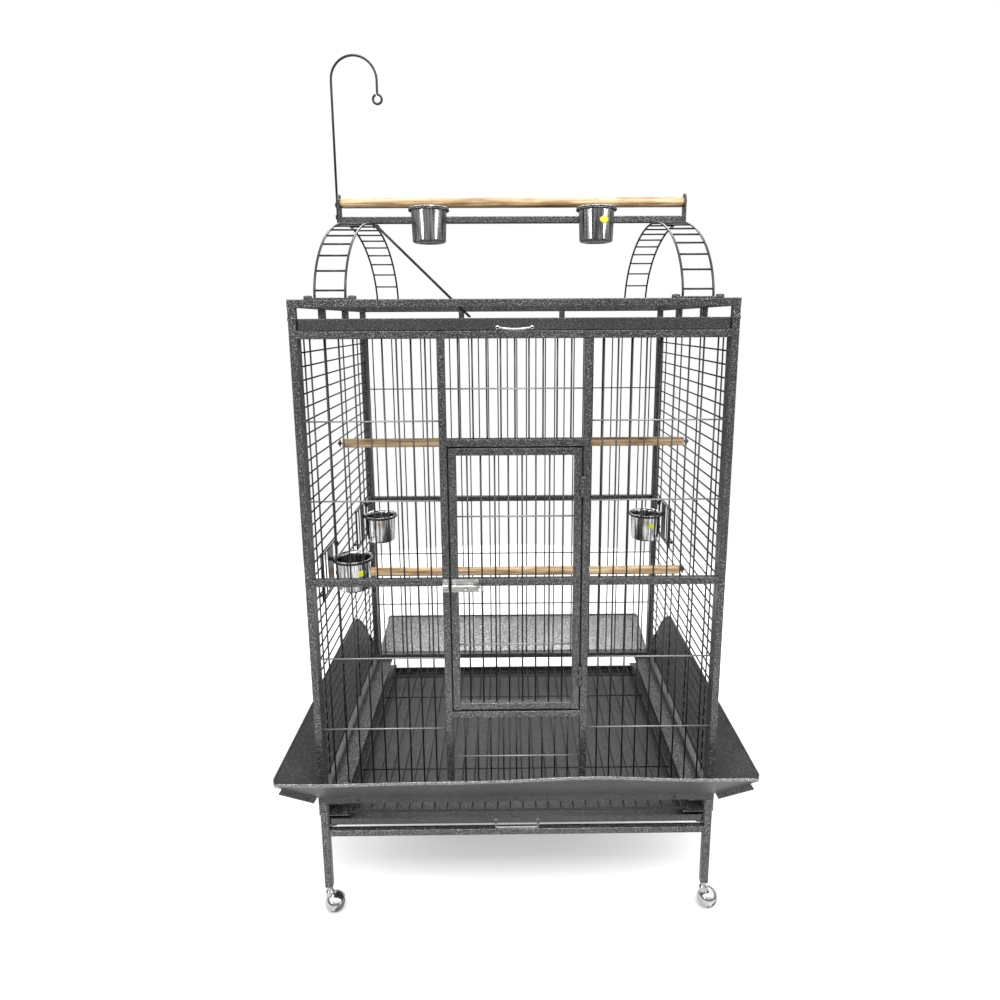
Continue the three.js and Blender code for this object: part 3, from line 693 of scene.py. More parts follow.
def back_panel():
    tubes = Shape(BACK)
    for side in (-1, 1):
        bar(tubes, beside(side, INNER_WIDTH, HALF_WIDTH), PANEL, (BODY_BOTTOM, BODY_TOP))
    across = (-INNER_WIDTH - EMBED, INNER_WIDTH + EMBED)
    for z in (BODY_BOTTOM + TUBE / 2, MID_RAIL + 0.006, BODY_TOP - TUBE / 2):
        bar(tubes, across, PANEL, around(z, TUBE))
    tubes.piece("back_tubes", "cage", coat, "back_panel")
    wires = Shape(BACK)
    uprights(wires, spread(BACK_BARS), FLOOR, CEILING)
    cross_wires(wires, CROSS_ZS, *across)
    wires.piece("back_wires", "cage", wire_coat)


SIDE_WIRES = 35
SIDE_PITCH = (CEILING - FLOOR) / (SIDE_WIRES + 1)
FEEDER_SILL = 15
FEEDER_HEADER = 19
FEEDER_HALF = 0.071
FRONT_FEEDER = -0.1775
REAR_FEEDER = 0.1965
JAMB = 0.0025


def side_wire_z(index):
    return FLOOR + index * SIDE_PITCH


def side_panel(name, matrix, facing, feeders, nodes):
    """One side: edge tubes, level wires, upright braces outside them, and jambs beside the feeders."""
    half = INNER_DEPTH - CLEARANCE
    stile = half - TUBE
    tubes = Shape(matrix)
    for side in (-1, 1):
        bar(tubes, beside(side, stile, half), PANEL, (BODY_BOTTOM, BODY_TOP))
    across = (-stile - EMBED, stile + EMBED)
    bar(tubes, across, PANEL, FLOOR_RAIL)
    bar(tubes, across, PANEL, CEILING_RAIL)
    tubes.piece(name + "_tubes", "cage", coat, *nodes)
    wires = Shape(matrix)
    side_wires(wires, across, sorted(facing * y for y in feeders))
    wires.piece(name + "_wires", "cage", wire_coat)


def side_wires(wires, across, middles):
    """The wires of one side, broken off at each feeder's opening."""
    low, high = side_wire_z(FEEDER_SILL), side_wire_z(FEEDER_HEADER)
    edges = [across[0]]
    for middle in middles:
        edges += [middle - FEEDER_HALF, middle + FEEDER_HALF]
    edges.append(across[1])
    spans = list(zip(edges[::2], edges[1::2]))
    for index in range(1, SIDE_WIRES + 1):
        z = side_wire_z(index)
        between = FEEDER_SILL < index < FEEDER_HEADER
        for x0, x1 in (spans if between else [across]):
            wire(wires, (x0, WIRE_DEPTH, z), (x1, WIRE_DEPTH, z))
    for eighth in (-3, -1, 1, 3):
        x = eighth * 2 * HALF_DEPTH / 8
        blocked = any(abs(x - middle) < FEEDER_HALF + 0.006 for middle in middles)
        runs = [(FLOOR, low), (high, CEILING)] if blocked else [(FLOOR, CEILING)]
        for z0, z1 in runs:
            wire(wires, (x, CROSS_DEPTH, z0 - EMBED), (x, CROSS_DEPTH, z1 + EMBED))
    for jamb in edges[1:-1]:
        wire(wires, (jamb, WIRE_DEPTH, low), (jamb, WIRE_DEPTH, high), JAMB)


def roof():
    """A wire frame with balls at its corners, bars from front to back, and three bars across them."""
    edge = 0.003
    x1 = INNER_WIDTH - CLEARANCE - edge
    y1 = INNER_DEPTH - CLEARANCE - edge
    z = BODY_TOP - TUBE / 2
    grille = Shape()
    corners = [(-x1, -y1), (x1, -y1), (x1, y1), (-x1, y1)]
    for (ax, ay), (bx, by) in zip(corners, corners[1:] + corners[:1]):
        wire(grille, (ax, ay, z), (bx, by, z), edge, 12)
    ball = [(0, -edge)] + polar(edge, (-60, -30, 0, 30, 60)) + [(0, edge)]
    for x, y in corners:
        lathe(grille, ball, Matrix.Translation((x, y, z)), 12)
    for x in spread(ROOF_BARS):
        wire(grille, (x, -y1, z), (x, y1, z))
    cross_z = z + WIRE + CROSS * 0.9
    for y in (-HALF_DEPTH / 2, 0, HALF_DEPTH / 2):
        wire(grille, (-x1, y, cross_z), (x1, y, cross_z), CROSS)
    grille.piece("roof_wires", "cage", wire_coat, "roof_grille")


# ---- trays and grille ----

SHEET = 0.0012
HEM = 0.0016
HANDLE_WIRE = 0.0024
HANDLE_ROOT = -HALF_DEPTH + 0.001


def pan(shape, low, high):
    """A folded sheet pan with rounded corners in plan and a rolled hem round its rim."""
    corner = 0.004

    def loop(inset, z):
        points = []
        for sx, sy, start in ((1, 1, 0), (-1, 1, 90), (-1, -1, 180), (1, -1, 270)):
            cx = (high.x - corner) if sx > 0 else (low.x + corner)
            cy = (high.y - corner) if sy > 0 else (low.y + corner)
            points += [(x, y, z) for x, y in arc((cx, cy), corner - inset, start, start + 90, 4)]
        return points

    wall = 0.0002
    bend = low.z + 0.002
    rim = high.z - HEM
    outside = [(0.0035, low.z), (0.0012, low.z + 0.0005), (wall, bend), (wall, rim - HEM)]
    hem = [(0.0, rim - HEM * 0.6), (0.0, rim + HEM * 0.5), (HEM * 0.4, high.z), (HEM * 1.4, high.z),
           (HEM * 1.9, rim + HEM * 0.4), (HEM * 1.9, rim - HEM * 0.6)]
    inside = [(wall + SHEET, rim - HEM), (wall + SHEET, bend + SHEET),
              (0.0012 + SHEET, low.z + SHEET + 0.0004), (0.0037, low.z + SHEET)]
    skin(shape, [loop(inset, z) for inset, z in outside + hem + inside])


def rounded_path(points, radius, steps=6):
    """A polyline whose corners are rounded off."""
    points = [Vector(p) for p in points]
    path = [points[0]]
    for before, at, after in zip(points, points[1:], points[2:]):
        into = (at - before).normalized()
        out = (after - at).normalized()
        start = at - into * radius
        end = at + out * radius
        for i in range(steps + 1):
            t = i / steps
            path.append(start * (1 - t) ** 2 + at * 2 * t * (1 - t) + end * t * t)
    return path + [points[-1]]


def handle(name, body, path, half, z, material, washer):
    """A bent wire on the front of a tray, with a washer under each end."""
    shape = Shape()
    sweep(shape, path, round_section(HANDLE_WIRE, 14))
    foot, shoulder, step, height = washer
    profile = [(0, -0.0004), (HANDLE_WIRE * foot, -0.0004), (HANDLE_WIRE * shoulder, step),
               (HANDLE_WIRE * 1.05, height), (0, height)]
    for x in (-half, half):
        lathe(shape, profile, aim((x, -HALF_DEPTH, z), (0, -1, 0)), 16)
    shape.piece(name, body, material)


def bow_path(half, z, reach):
    """A wire that leaves the tray level and hangs in a bow."""
    sag = 0.0032
    path = [(-half, HANDLE_ROOT, z), (-half, -HALF_DEPTH - reach * 0.45, z)]
    for i in range(1, 16):
        t = i / 16
        dip = math.sin(math.pi * t)
        path.append((half * (2 * t - 1), -HALF_DEPTH - reach * (0.6 + 0.4 * dip ** 0.4), z - sag * dip))
    path += [(half, -HALF_DEPTH - reach * 0.45, z), (half, HANDLE_ROOT, z)]
    return rounded_path(path, 0.0012, 2)


def tray(node, name):
    """A tray's pan; its box reaches further forward, to the handle. Gives the handle's reach."""
    low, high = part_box(node)
    shape = Shape()
    pan(shape, Vector((low.x, -HALF_DEPTH, low.z)), high)
    shape.piece(name, node, sheet_coat, node)
    return -HALF_DEPTH - low.y - 0.0026


def bottom_tray():
    reach = tray("bottom_tray", "litter_tray")
    half, z = 0.049, 0.246
    tip = -HALF_DEPTH - reach
    corners = [(-half, HANDLE_ROOT), (-half, tip), (half, tip), (half, HANDLE_ROOT)]
    path = rounded_path([(x, y, z) for x, y in corners], 0.007)
    # the handle takes the lighter wire coat, a painted highlight
    handle("litter_tray_handle", "bottom_tray", path, half, z, painted_highlight_wire_coat, (1.9, 1.6, 0.0006, 0.0016))


def upper_tray():
    reach = tray("upper_tray", "upper_litter_tray")
    half, z = 0.035, 1.3770
    path = bow_path(half, z, reach)
    handle("upper_tray_handle", "upper_tray", path, half, z, chrome, (2.1, 1.8, 0.0008, 0.0022))


def floor_grille():
    """A frame of thicker wire with bars from front to back over three bars across."""
    low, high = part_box("floor_grille")
    z = (low.z + high.z) / 2
    edge = 0.0028
    x0, x1 = low.x + edge, high.x - edge
    y0, y1 = low.y + edge, high.y - edge
    grille = Shape()
    corners = [(0, y0), (x1, y0), (x1, y1), (x0, y1), (x0, y0), (-0.0001, y0)]
    path = rounded_path([(x, y, z) for x, y in corners], 0.008)
    sweep(grille, path[:-1], round_section(edge), closed=True)
    for x in spread(26, 0.0297):
        wire(grille, (x, y0, z + 0.0008), (x, y1, z + 0.0008))
    for y in (-0.194, 0.148, 0.269):
        wire(grille, (x0, y, z - 0.0012), (x1, y, z - 0.0012), CROSS)
    grille.piece("floor_grille_wires", "floor_grille", wire_coat, "floor_grille")


def guides():
    """A folded channel under each side tube, with a ledge for the grille and one for the tray."""
    fold = 0.0015
    between_legs = HALF_DEPTH - LEG - 0.0008
    for name, side in (("tray_guide_left", -1), ("tray_guide_right", 1)):
        low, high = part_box(name)
        outer = max(abs(low.x), abs(high.x))
        inner = min(abs(low.x), abs(high.x))
        full = (low.y, high.y)
        channel = Shape()
        for x0, x1, ys, zs in (
            (inner, outer, full, (0.2623, 0.2638)),
            (inner + 0.012, outer, full, (high.z - fold, high.z)),
            (outer - fold, outer, full, (low.z, high.z - 0.0012)),
            (outer - 0.018, outer, full, (low.z, low.z + fold)),
            (outer - 0.0006, HALF_WIDTH - 0.0008, (-between_legs, between_legs),
             (high.z - fold, high.z - 0.0001)),
        ):
            bar(channel, beside(side, x0, x1), ys, zs, 0.0004)
        channel.piece(name + "_channel", "cage", coat, name)


# ---- stand ----


CORNERS = (("front_left", -1, -1), ("front_right", 1, -1), ("rear_left", -1, 1), ("rear_right", 1, 1))


def stand():
    """Four legs, each with a bolt near its top, and four rails; each tube fills its box."""
    corner = 0.0022
    for word, _, sy in CORNERS:
        low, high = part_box("leg_" + word)
        leg = Shape()
        bar(leg, *zip(low, high), corner)
        bolt_at = (middle_of("leg_" + word).x, sy * HALF_DEPTH, high.z - 0.022)
        dome_bolt(leg, bolt_at, (0, sy, 0), 0.004, 0.0024)
        leg.piece("leg_tube_" + word, "cage", coat, "leg_" + word)
    for word in ("front", "rear", "left", "right"):
        rail = Shape()
        bar(rail, *zip(*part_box("stand_rail_" + word)), corner)
        rail.piece("stand_rail_tube_" + word, "cage", coat, "stand_rail_" + word)


TRAIL = 0.012
HOOD_OUTER = 0.0248
HOOD_INNER = 0.0232


def caster_hood(word):
    """A tilted half-round hood on a turned stem, with an axle and its two caps."""
    centre = middle_of("caster_wheel_" + word)
    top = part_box("leg_" + word)[0].z
    rim = 2
    hood = Shape()
    rim_x, rim_z = polar(0.0252, (rim,))[0]
    profile = arc((0, 0), HOOD_OUTER, 90, rim, 14) + [(rim_x, rim_z - 0.0012)]
    profile += arc((0, 0), HOOD_INNER, rim - 4, 90, 14)
    tilt = Matrix.Rotation(math.radians(-30), 4, "Y")
    lathe(hood, profile, Matrix.Translation(centre) @ tilt, 40)
    stem = [(0, 0.037), (0.0085, 0.037), (0.0098, 0.044), (0.0100, 0.050), (0.0094, 0.0535),
            (0.0072, 0.0545), (0.0072, 0.0565), (0.0056, 0.0572), (0.0056, top - 0.004),
            (0.0086, top - 0.004), (0.0088, top - 0.0035), (0.0088, top - 0.0006), (0, top - 0.0006)]
    lathe(hood, stem, Matrix.Translation((centre.x - TRAIL, centre.y, 0)), 28)
    cap = [(0, -0.002), (0.0042, -0.002), (0.0042, 0.0004), (0.003, 0.0011), (0, 0.0013)]
    for end in (-1, 1):
        lathe(hood, cap, aim(centre + Vector((0, end * (HOOD_INNER + 0.0008), 0)), (0, end, 0)), 16)
    axle = Vector((0, HOOD_INNER, 0))
    wire(hood, centre - axle, centre + axle, 0.003, 12)
    hood.piece("caster_hood_shell_" + word, "caster_swivel_" + word, chrome, "caster_hood_" + word)


def caster_wheel(word):
    """A ball-shaped wheel with flat sides, turned round its axle."""
    centre = middle_of("caster_wheel_" + word)
    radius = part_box("caster_wheel_" + word)[1].z - centre.z
    half = 0.0165
    swell = radius / math.cos(math.radians(14))
    side = [(0.0034, half - 0.004), (0.0085, half - 0.004), (0.0092, half - 0.0005),
            (0.0125, half - 0.0002)]
    side += reversed(polar(swell, range(14, 51, 4)))
    profile = [(r, -z) for r, z in side] + [(r, z) for r, z in reversed(side)]
    profile.append(profile[0])
    wheel = Shape()
    lathe(wheel, profile, Matrix.Translation(centre) @ Matrix.Rotation(math.pi / 2, 4, "X"), 48)
    wheel.piece("caster_wheel_ball_" + word, "caster_roller_" + word, rubber, "caster_wheel_" + word)


# ---- seed guards ----


GUARD_FOOT = 0.296
GUARD_BEND = 0.308
GUARD_LIP = 0.399
GUARD_REACH = 0.0780
GUARD_SLOPE = (GUARD_LIP - GUARD_BEND) / GUARD_REACH
GUARD_INSET = 0.011
GUARD_TRIM = 0.0004
GUARD_GAP = 0.0006
GUARD_OUT = GUARD_GAP + SHEET


def guard_end(half, style):
    """The outline of a guard's end in plan, as [along, outward] points from its foot to its lip."""
    if style == "mitre":
        corner = 0.018
        return [(half + GUARD_REACH - corner + x, GUARD_REACH - corner + d)
                for x, d in arc((0, 0), corner, 45, 90, 6)]
    if style == "free":
        ends = [Vector(v) for v in ((0.40, 0.40), (1.15, 0.50), (1.15, 1.0), (0.60, 1.0))]
        nose = []
        for t in (i / 14 for i in range(15)):
            weights = ((1 - t) ** 3, 3 * t * (1 - t) ** 2, 3 * t * t * (1 - t), t ** 3)
            at = sum((end * weight for end, weight in zip(ends, weights)), Vector((0, 0)))
            nose.append((half + GUARD_REACH * at.x, GUARD_REACH * at.y))
        return nose
    corner = 0.008
    tip_x = half - GUARD_INSET - 0.0212
    return [(tip_x - corner + x, GUARD_REACH - corner + d) for x, d in arc((0, 0), corner, 0, 90, 6)]


def guard_outline(half, left_style, right_style):
    """A guard's free edge in plan, from its left foot along the lip to its right foot."""
    left = [(-x + GUARD_TRIM, d) for x, d in guard_end(half, left_style)]
    right = [(x - GUARD_TRIM, d) for x, d in guard_end(half, right_style)]
    x0, x1 = left[-1][0], right[-1][0]
    lip = [(x0 + (x1 - x0) * i / 24, GUARD_REACH) for i in range(1, 24)]
    return left + lip + right[::-1]


def guard_rows(outline, foot_half, lift):
    """The folded sheet's section towards each point of the outline, up its face and down its back."""
    low_x, high_x = outline[0][0], outline[-1][0]
    rows = []
    for x, d in outline:
        foot_x = foot_half * (2 * (x - low_x) / (high_x - low_x) - 1)
        front = [(foot_x, -GUARD_OUT, GUARD_FOOT), (foot_x, -GUARD_OUT, GUARD_BEND - 0.001)]
        back = [(foot_x, -GUARD_GAP, GUARD_FOOT), (foot_x, -GUARD_GAP, GUARD_BEND + 0.0002)]
        for t in (0.0, 0.25, 0.5, 0.75, 1.0):
            at_x = foot_x + (x - foot_x) * t
            out = GUARD_OUT + (d - GUARD_OUT) * t
            front.append((at_x, -out, lift(at_x, out)))
            back.append((at_x, -out, lift(at_x, out) + SHEET * 1.45))
        rows.append(front + back[::-1])
    return rows


def guard(word, matrix, half, left_style, right_style, rise=0.0):
    """A sloping sheet folded up from its foot, with a rolled hem along its lip."""

    def lift(x, d):
        """The sheet's height; a rise makes its lip wave a little."""
        swell = math.exp(-((x - 0.16) / 0.16) ** 2) - 0.35 * math.exp(-((x + 0.42) / 0.12) ** 2)
        return GUARD_BEND + GUARD_SLOPE * d + rise * swell * (d / GUARD_REACH) ** 2

    outline = guard_outline(half, left_style, right_style)
    rows = guard_rows(outline, half - (GUARD_INSET if left_style == "inset" else GUARD_TRIM), lift)
    sides = len(rows[0])
    faces = quads(len(rows), sides)
    for base in (0, (len(rows) - 1) * sides):
        for i in range(sides // 2 - 1):
            faces.append([base + i, base + i + 1, base + sides - 2 - i, base + sides - 1 - i])
    sheet = Shape(matrix)
    sheet.add([p for row in rows for p in row], faces, False)
    hem = Shape(matrix)
    path = [(x, -d, lift(x, d) + 0.0026) for x, d in outline]
    sweep(hem, path, square_section(0.0022, 0.0072, 0.001), smooth=False, upright=True)
    # the hem's lighter coat is a painted highlight
    hem.piece("guard_hem_" + word, "cage", painted_highlight_hem_coat)
    bolt_z = (GUARD_FOOT + GUARD_BEND) / 2
    for x in spread(3, half * 0.8):
        dome_bolt(sheet, (x, -GUARD_OUT, bolt_z), (0, -1, 0), 0.0038, 0.002)
    # The rear guard's lighter coat is painted sheen; the other guards' darker coat is painted shade.
    sheet.piece("guard_sheet_" + word, "cage", painted_sheen_rear_coat if word == "rear" else painted_shade_guard_coat,
                "seed_guard_" + word)


def guard_flange(word, sx, sy):
    """The folded strip under a front corner where a side guard is screwed to the front one."""

    def mitre(d):
        z = GUARD_BEND + GUARD_SLOPE * d + 0.001
        return Vector((sx * (HALF_WIDTH + d), sy * (HALF_DEPTH + d), z))

    inner = mitre(0.004)
    outer = mitre(0.061)
    side = Vector((sx, -sy, 0)).normalized()
    down = (outer - inner).normalized().cross(side).normalized()
    if down.z > 0:
        down = -down
    drop = 0.014
    offset = down * (drop / 2 - 0.0004)
    flange = Shape()
    sweep(flange, [inner + offset, outer + offset], square_section(drop, 0.0026, 0.0004, 2),
          up=tuple(side), smooth=False)
    for t in (0.25, 0.75):
        at = inner.lerp(outer, t) + offset * 1.2
        for way in (-1, 1):
            dome_bolt(flange, at + side * way * 0.0013, side * way, 0.003, 0.0018)
    flange.piece("guard_flange_" + word, "cage", sheet_coat)


def corner_tab(word, sx, sy):
    """A small plate on the outside of a corner, above the stand."""
    tab = Shape()
    xs = around(sx * (HALF_WIDTH + 0.0012), 0.0024)
    bar(tab, xs, beside(sy, HALF_DEPTH - 0.030, HALF_DEPTH - 0.002), (0.262, 0.300), 0.0008)
    tab.piece("corner_tab_" + word, "cage", coat)


# ---- play area ----


def playtop_rim():
    """The tube frame above the roof, its short posts, and a bolt on each face of the front posts."""
    low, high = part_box("playtop_rim")
    top = (high.z - TUBE, high.z)
    side_ys = (-INNER_DEPTH - EMBED, INNER_DEPTH + EMBED)
    rim = Shape()
    for side in (-1, 1):
        bar(rim, (-HALF_WIDTH, HALF_WIDTH), beside(side, INNER_DEPTH, HALF_DEPTH), top)
        bar(rim, beside(side, INNER_WIDTH, HALF_WIDTH), side_ys, top)
    post_x = HALF_WIDTH - TUBE / 2
    post_y = HALF_DEPTH - TUBE / 2
    ys = (-post_y, -HALF_DEPTH / 3, HALF_DEPTH / 3, post_y)
    spots = [(sx * post_x, y) for sx in (-1, 1) for y in ys] + [(-COLUMN_X, post_y), (COLUMN_X, post_y)]
    for x, y in spots:
        bar(rim, around(x, TUBE), around(y, TUBE), (low.z, top[0] + EMBED))
    bolt_z = (low.z + top[0]) / 2
    for sx in (-1, 1):
        dome_bolt(rim, (sx * post_x, -HALF_DEPTH, bolt_z), (0, -1, 0), 0.0048, 0.0028)
        dome_bolt(rim, (sx * HALF_WIDTH, -post_y, bolt_z), (sx, 0, 0), 0.0048, 0.0028)
    rim.piece("playtop_rim_tubes", "cage", coat, "playtop_rim")


ARCH_X = 0.371
ARCH_HALF = 0.031
ARCH_APEX = 1.6218
ARCH_RUNGS = 20
ARCH_FIRST_RUNG = 0.0165
ARCH_FULLNESS = 1.9


def arch_points(x, count=64):
    """Half an oval from the front rim to the back rim."""
    reach = HALF_DEPTH - TUBE / 2
    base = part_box("playtop_rim")[1].z + 0.0013
    points = []
    for i in range(count + 1):
        angle = math.pi * (1 - i / count)
        along = math.copysign(abs(math.cos(angle)) ** (2 / ARCH_FULLNESS), math.cos(angle))
        up = abs(math.sin(angle)) ** (2 / ARCH_FULLNESS)
        points.append(Vector((x, reach * along, base + (ARCH_APEX - base) * up)))
    return points


def along_curve(points, distances):
    lengths = [0.0]
    for a, b in zip(points, points[1:]):
        lengths.append(lengths[-1] + (b - a).length)
    found = []
    for distance in distances:
        i = max(k for k in range(len(points) - 1) if lengths[k] <= distance)
        t = (distance - lengths[i]) / (lengths[i + 1] - lengths[i])
        found.append(points[i].lerp(points[i + 1], t))
    return found, lengths[-1]


def wing_nut(shape, centre):
    """A low wing nut on a washer, with the end of its screw."""
    nut = [(0, 0), (0.0078, 0), (0.0078, 0.0010), (0.0058, 0.0013), (0.0050, 0.0030), (0.0030, 0.0044),
           (0, 0.0048)]
    lathe(shape, nut, Matrix.Translation(centre), 20)
    wing = [(0, -0.0010), (0.0014, -0.0009), (0.0019, -0.0003), (0.0019, 0.0003), (0.0014, 0.0009),
            (0, 0.0010)]
    upright = Matrix.Rotation(math.pi / 2, 4, "X") @ Matrix.Diagonal((2.2, 1.0, 1.0, 1.0))
    for side in (-1, 1):
        at = Vector(centre) + Vector((side * 0.0048, 0, 0.0024))
        lathe(shape, wing, Matrix.Translation(at) @ upright, 20)


def ladder_arch(word, side):
    x = side * ARCH_X
    wires = Shape()
    for offset in (-ARCH_HALF, ARCH_HALF):
        sweep(wires, arch_points(x + offset), round_section(0.0025, 12), up=(1, 0, 0))
    middle = arch_points(x, 96)
    _, length = along_curve(middle, [0])
    step = (length - 2 * ARCH_FIRST_RUNG) / (ARCH_RUNGS - 1)
    rungs, _ = along_curve(middle, [ARCH_FIRST_RUNG + i * step for i in range(ARCH_RUNGS)])
    for p in rungs:
        wire(wires, (x - ARCH_HALF, p.y, p.z), (x + ARCH_HALF, p.y, p.z), 0.0021)
    wires.piece("arch_wires_" + word, "cage", wire_coat, "ladder_arch_" + word)
    feet = Shape()
    bolts = Shape()
    reach = HALF_DEPTH - TUBE / 2
    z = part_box("playtop_rim")[1].z + CLEARANCE
    for y in (-reach, reach):
        bar(feet, around(x, 0.104), around(y, 0.014), (z, z + 0.003), 0.0012)
        for end in (-1, 1):
            wing_nut(bolts, (x + end * 0.0445, y, z + 0.003))
    feet.piece("arch_feet_" + word, "cage", coat)
    bolts.piece("arch_wing_bolts_" + word, "cage", bolt_zinc)


PERCH_Z = 1.674
CUP_X = 0.198
CUP_Y = -0.066
RING_RADIUS = 0.046
RING_WIRE = 0.0025


def ring(shape, centre):
    """A wire ring under a cup's flared rim."""
    turn = arc((0, 0), RING_RADIUS, 0, 360, 48)[:-1]
    path = [(centre[0] + x, centre[1] + y, centre[2]) for x, y in turn]
    sweep(shape, path, round_section(RING_WIRE, 12), closed=True)


def ring_height(cup_node):
    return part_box(cup_node)[1].z - 0.003 - RING_WIRE - CLEARANCE


def perch_rail():
    """The tube under the top perch, its rounded end plates, and the rings and straps for two cups."""
    low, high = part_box("perch_rail")
    bottom = low.z
    rail = Shape()
    bar(rail, (low.x + 0.003, high.x - 0.003), (-TUBE / 2, TUBE / 2), (bottom, bottom + TUBE))
    plate = 0.015
    outline = [(-plate, bottom), (plate, bottom)] + arc((0, high.z - plate), plate, 0, 180, 14)
    for side in (-1, 1):
        ends = beside(side, high.x - 0.004, high.x)
        skin(rail, [[(x, y, z) for y, z in outline] for x in ends], False)
    ring_z = ring_height("top_cup_left")
    face = -TUBE / 2
    for x in (-CUP_X, CUP_X):
        strap = around(x, 0.014)
        ring(rail, (x, CUP_Y, ring_z))
        bar(rail, strap, (CUP_Y + RING_RADIUS - 0.002, face - 0.001), around(ring_z, 0.003), 0.0006)
        bar(rail, strap, (face - 0.0022, face + 0.0003), (bottom + 0.003, ring_z + 0.0015), 0.0006)
    rail.piece("perch_rail_and_plates", "cage", coat, "perch_rail")
    fittings = Shape()
    for side in (-1, 1):
        out = (side, 0, 0)
        end = Vector((side * high.x, 0, PERCH_Z))
        lathe(fittings, [(0, 0), (0.0078, 0), (0.0078, 0.001), (0, 0.001)], aim(end, out), 24)
        hex_nut(fittings, end + Vector((side * 0.001, 0, 0)), out, 0.0055, 0.0022)
        hex_nut(fittings, (side * high.x, 0, bottom + TUBE / 2), out, 0.005, 0.0028)
    fittings.piece("perch_rail_fittings", "cage", bolt_zinc)


def perch(name, start, end, radius, node, seed):
    """A turned perch that is slightly uneven along its length, with eased ends."""
    source = random.Random(seed)
    phases = [source.uniform(0, 6.28) for _ in range(6)]
    length = end - start
    sides = 36
    count = 120
    rings = []
    for i in range(count + 1):
        t = i / count
        x = start + length * t
        ease = min(1.0, min(t, 1 - t) * length / 0.002)
        rings.append([])
        for j in range(sides):
            angle = 2 * math.pi * j / sides
            wave = math.sin(9 * t + phases[0]) * math.cos(angle + phases[1])
            wave += 0.6 * math.sin(23 * t + phases[2]) * math.cos(2 * angle + phases[3])
            wave += 0.5 * math.sin(61 * t + phases[4]) * math.cos(3 * angle + phases[5])
            r = radius * (0.975 + 0.010 * wave) - 0.0012 * (1 - ease)
            rings[-1].append((x, r * math.cos(angle), r * math.sin(angle)))
    low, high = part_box(node)
    shape = Shape(Matrix.Translation((0, (low.y + high.y) / 2, (low.z + high.z) / 2)))
    skin(shape, rings)
    shape.piece(name, "cage", wood, node)


def perches():
    """The top perch, and two inner ones with a washer, a nut and a screw at each end."""
    low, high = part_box("top_perch")
    perch("top_perch_wood", low.x, high.x, (high.z - low.z) / 2, "top_perch", 3)
    inside = HALF_WIDTH - TUBE / 2 - WIRE - 0.003
    washer = [(0, 0), (0.0098, 0), (0.0100, 0.0003), (0.0100, 0.0010), (0.0097, 0.0013), (0, 0.0013)]
    for word, seed in (("upper", 7), ("lower", 12)):
        node = "inner_perch_" + word
        low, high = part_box(node)
        perch(node + "_wood", -inside, inside, 0.012, node, seed)
        fittings = Shape()
        for side in (-1, 1):
            outer_x = side * (HALF_WIDTH - TUBE / 2 + WIRE + 0.0004)
            at = Vector((outer_x, (low.y + high.y) / 2, (low.z + high.z) / 2))
            out = Vector((side, 0, 0))
            lathe(fittings, washer, aim(at, out), 32)
            hex_nut(fittings, at + out * 0.0013, out, 0.0050, 0.0035)
            wire(fittings, at - out * 0.010, at + out * 0.0065, 0.0022, 14)
        fittings.piece(node + "_fittings", "cage", bolt_zinc)


def toy_hook():
    """A rod that rises from the perch rail, turns over, and ends in an open eye."""
    low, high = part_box("toy_hook")
    radius = 0.003
    x = low.x + radius
    bend = 0.054
    straight_top = high.z - bend - radius
    end_x = x + 2 * bend
    end_z = 1.919
    eye = 0.011
    path = [(x, low.z + 0.0002), (x, low.z + 0.25), (x, straight_top - 0.02)]
    path += [(x + bend + bx, straight_top + bz) for bx, bz in arc((0, 0), bend, 180, 0, 28)]
    path.append((end_x, end_z + 0.004))
    centre = Vector((end_x, end_z - eye + 0.0006))
    path += [(centre.x + bx, centre.y + bz) for bx, bz in arc((0, 0), eye - 0.0006, 84, -250, 30)]
    hook = Shape()
    sweep(hook, [(px, 0, pz) for px, pz in path], round_section(radius * 0.93, 14), up=(0, 1, 0))
    for z in (low.z + 0.012, low.z + 0.040):
        bar(hook, (x - 0.0034, x + 0.0034), (-0.0085, 0.0085), (z - 0.005, z + 0.005), 0.0012)
    hook.piece("toy_hook_rod", "cage", wire_coat, "toy_hook")


def climbing_ladder():
    """Two rails hooked over the left arch, with rungs down to the play area."""
    half = 0.033
    wire_x = -ARCH_X + ARCH_HALF
    wire_z = ARCH_APEX - 0.001
    reach = 0.0062
    top = Vector((wire_x + reach, 0, wire_z))
    foot = Vector((-0.108, 0, 1.400))
    lead = (foot - top).normalized()
    ladder = Shape()
    for y in (-half, half):
        hook = [Vector((wire_x + a, y, wire_z + b)) for a, b in arc((0, 0), reach, 195, 0, 14)]
        path = hook + [Vector((top.x, y, top.z)) + lead * 0.004, Vector((foot.x, y, foot.z))]
        sweep(ladder, path, round_section(0.0021, 12), up=(0, 1, 0))
    rungs = 8
    for i in range(rungs):
        at = top.lerp(foot, (i + 0.6) / rungs)
        wire(ladder, (at.x, -half, at.z), (at.x, half, at.z), 0.0019)
    ladder.piece("climbing_ladder_wires", "cage", wire_coat, "climbing_ladder")


# ---- cups and feeder doors ----


CUP_WALL = 0.0422
CUP_NECK = CUP_WALL - 0.0004
CUP_FOOT = 0.0395
CUP_TURN = 0.006


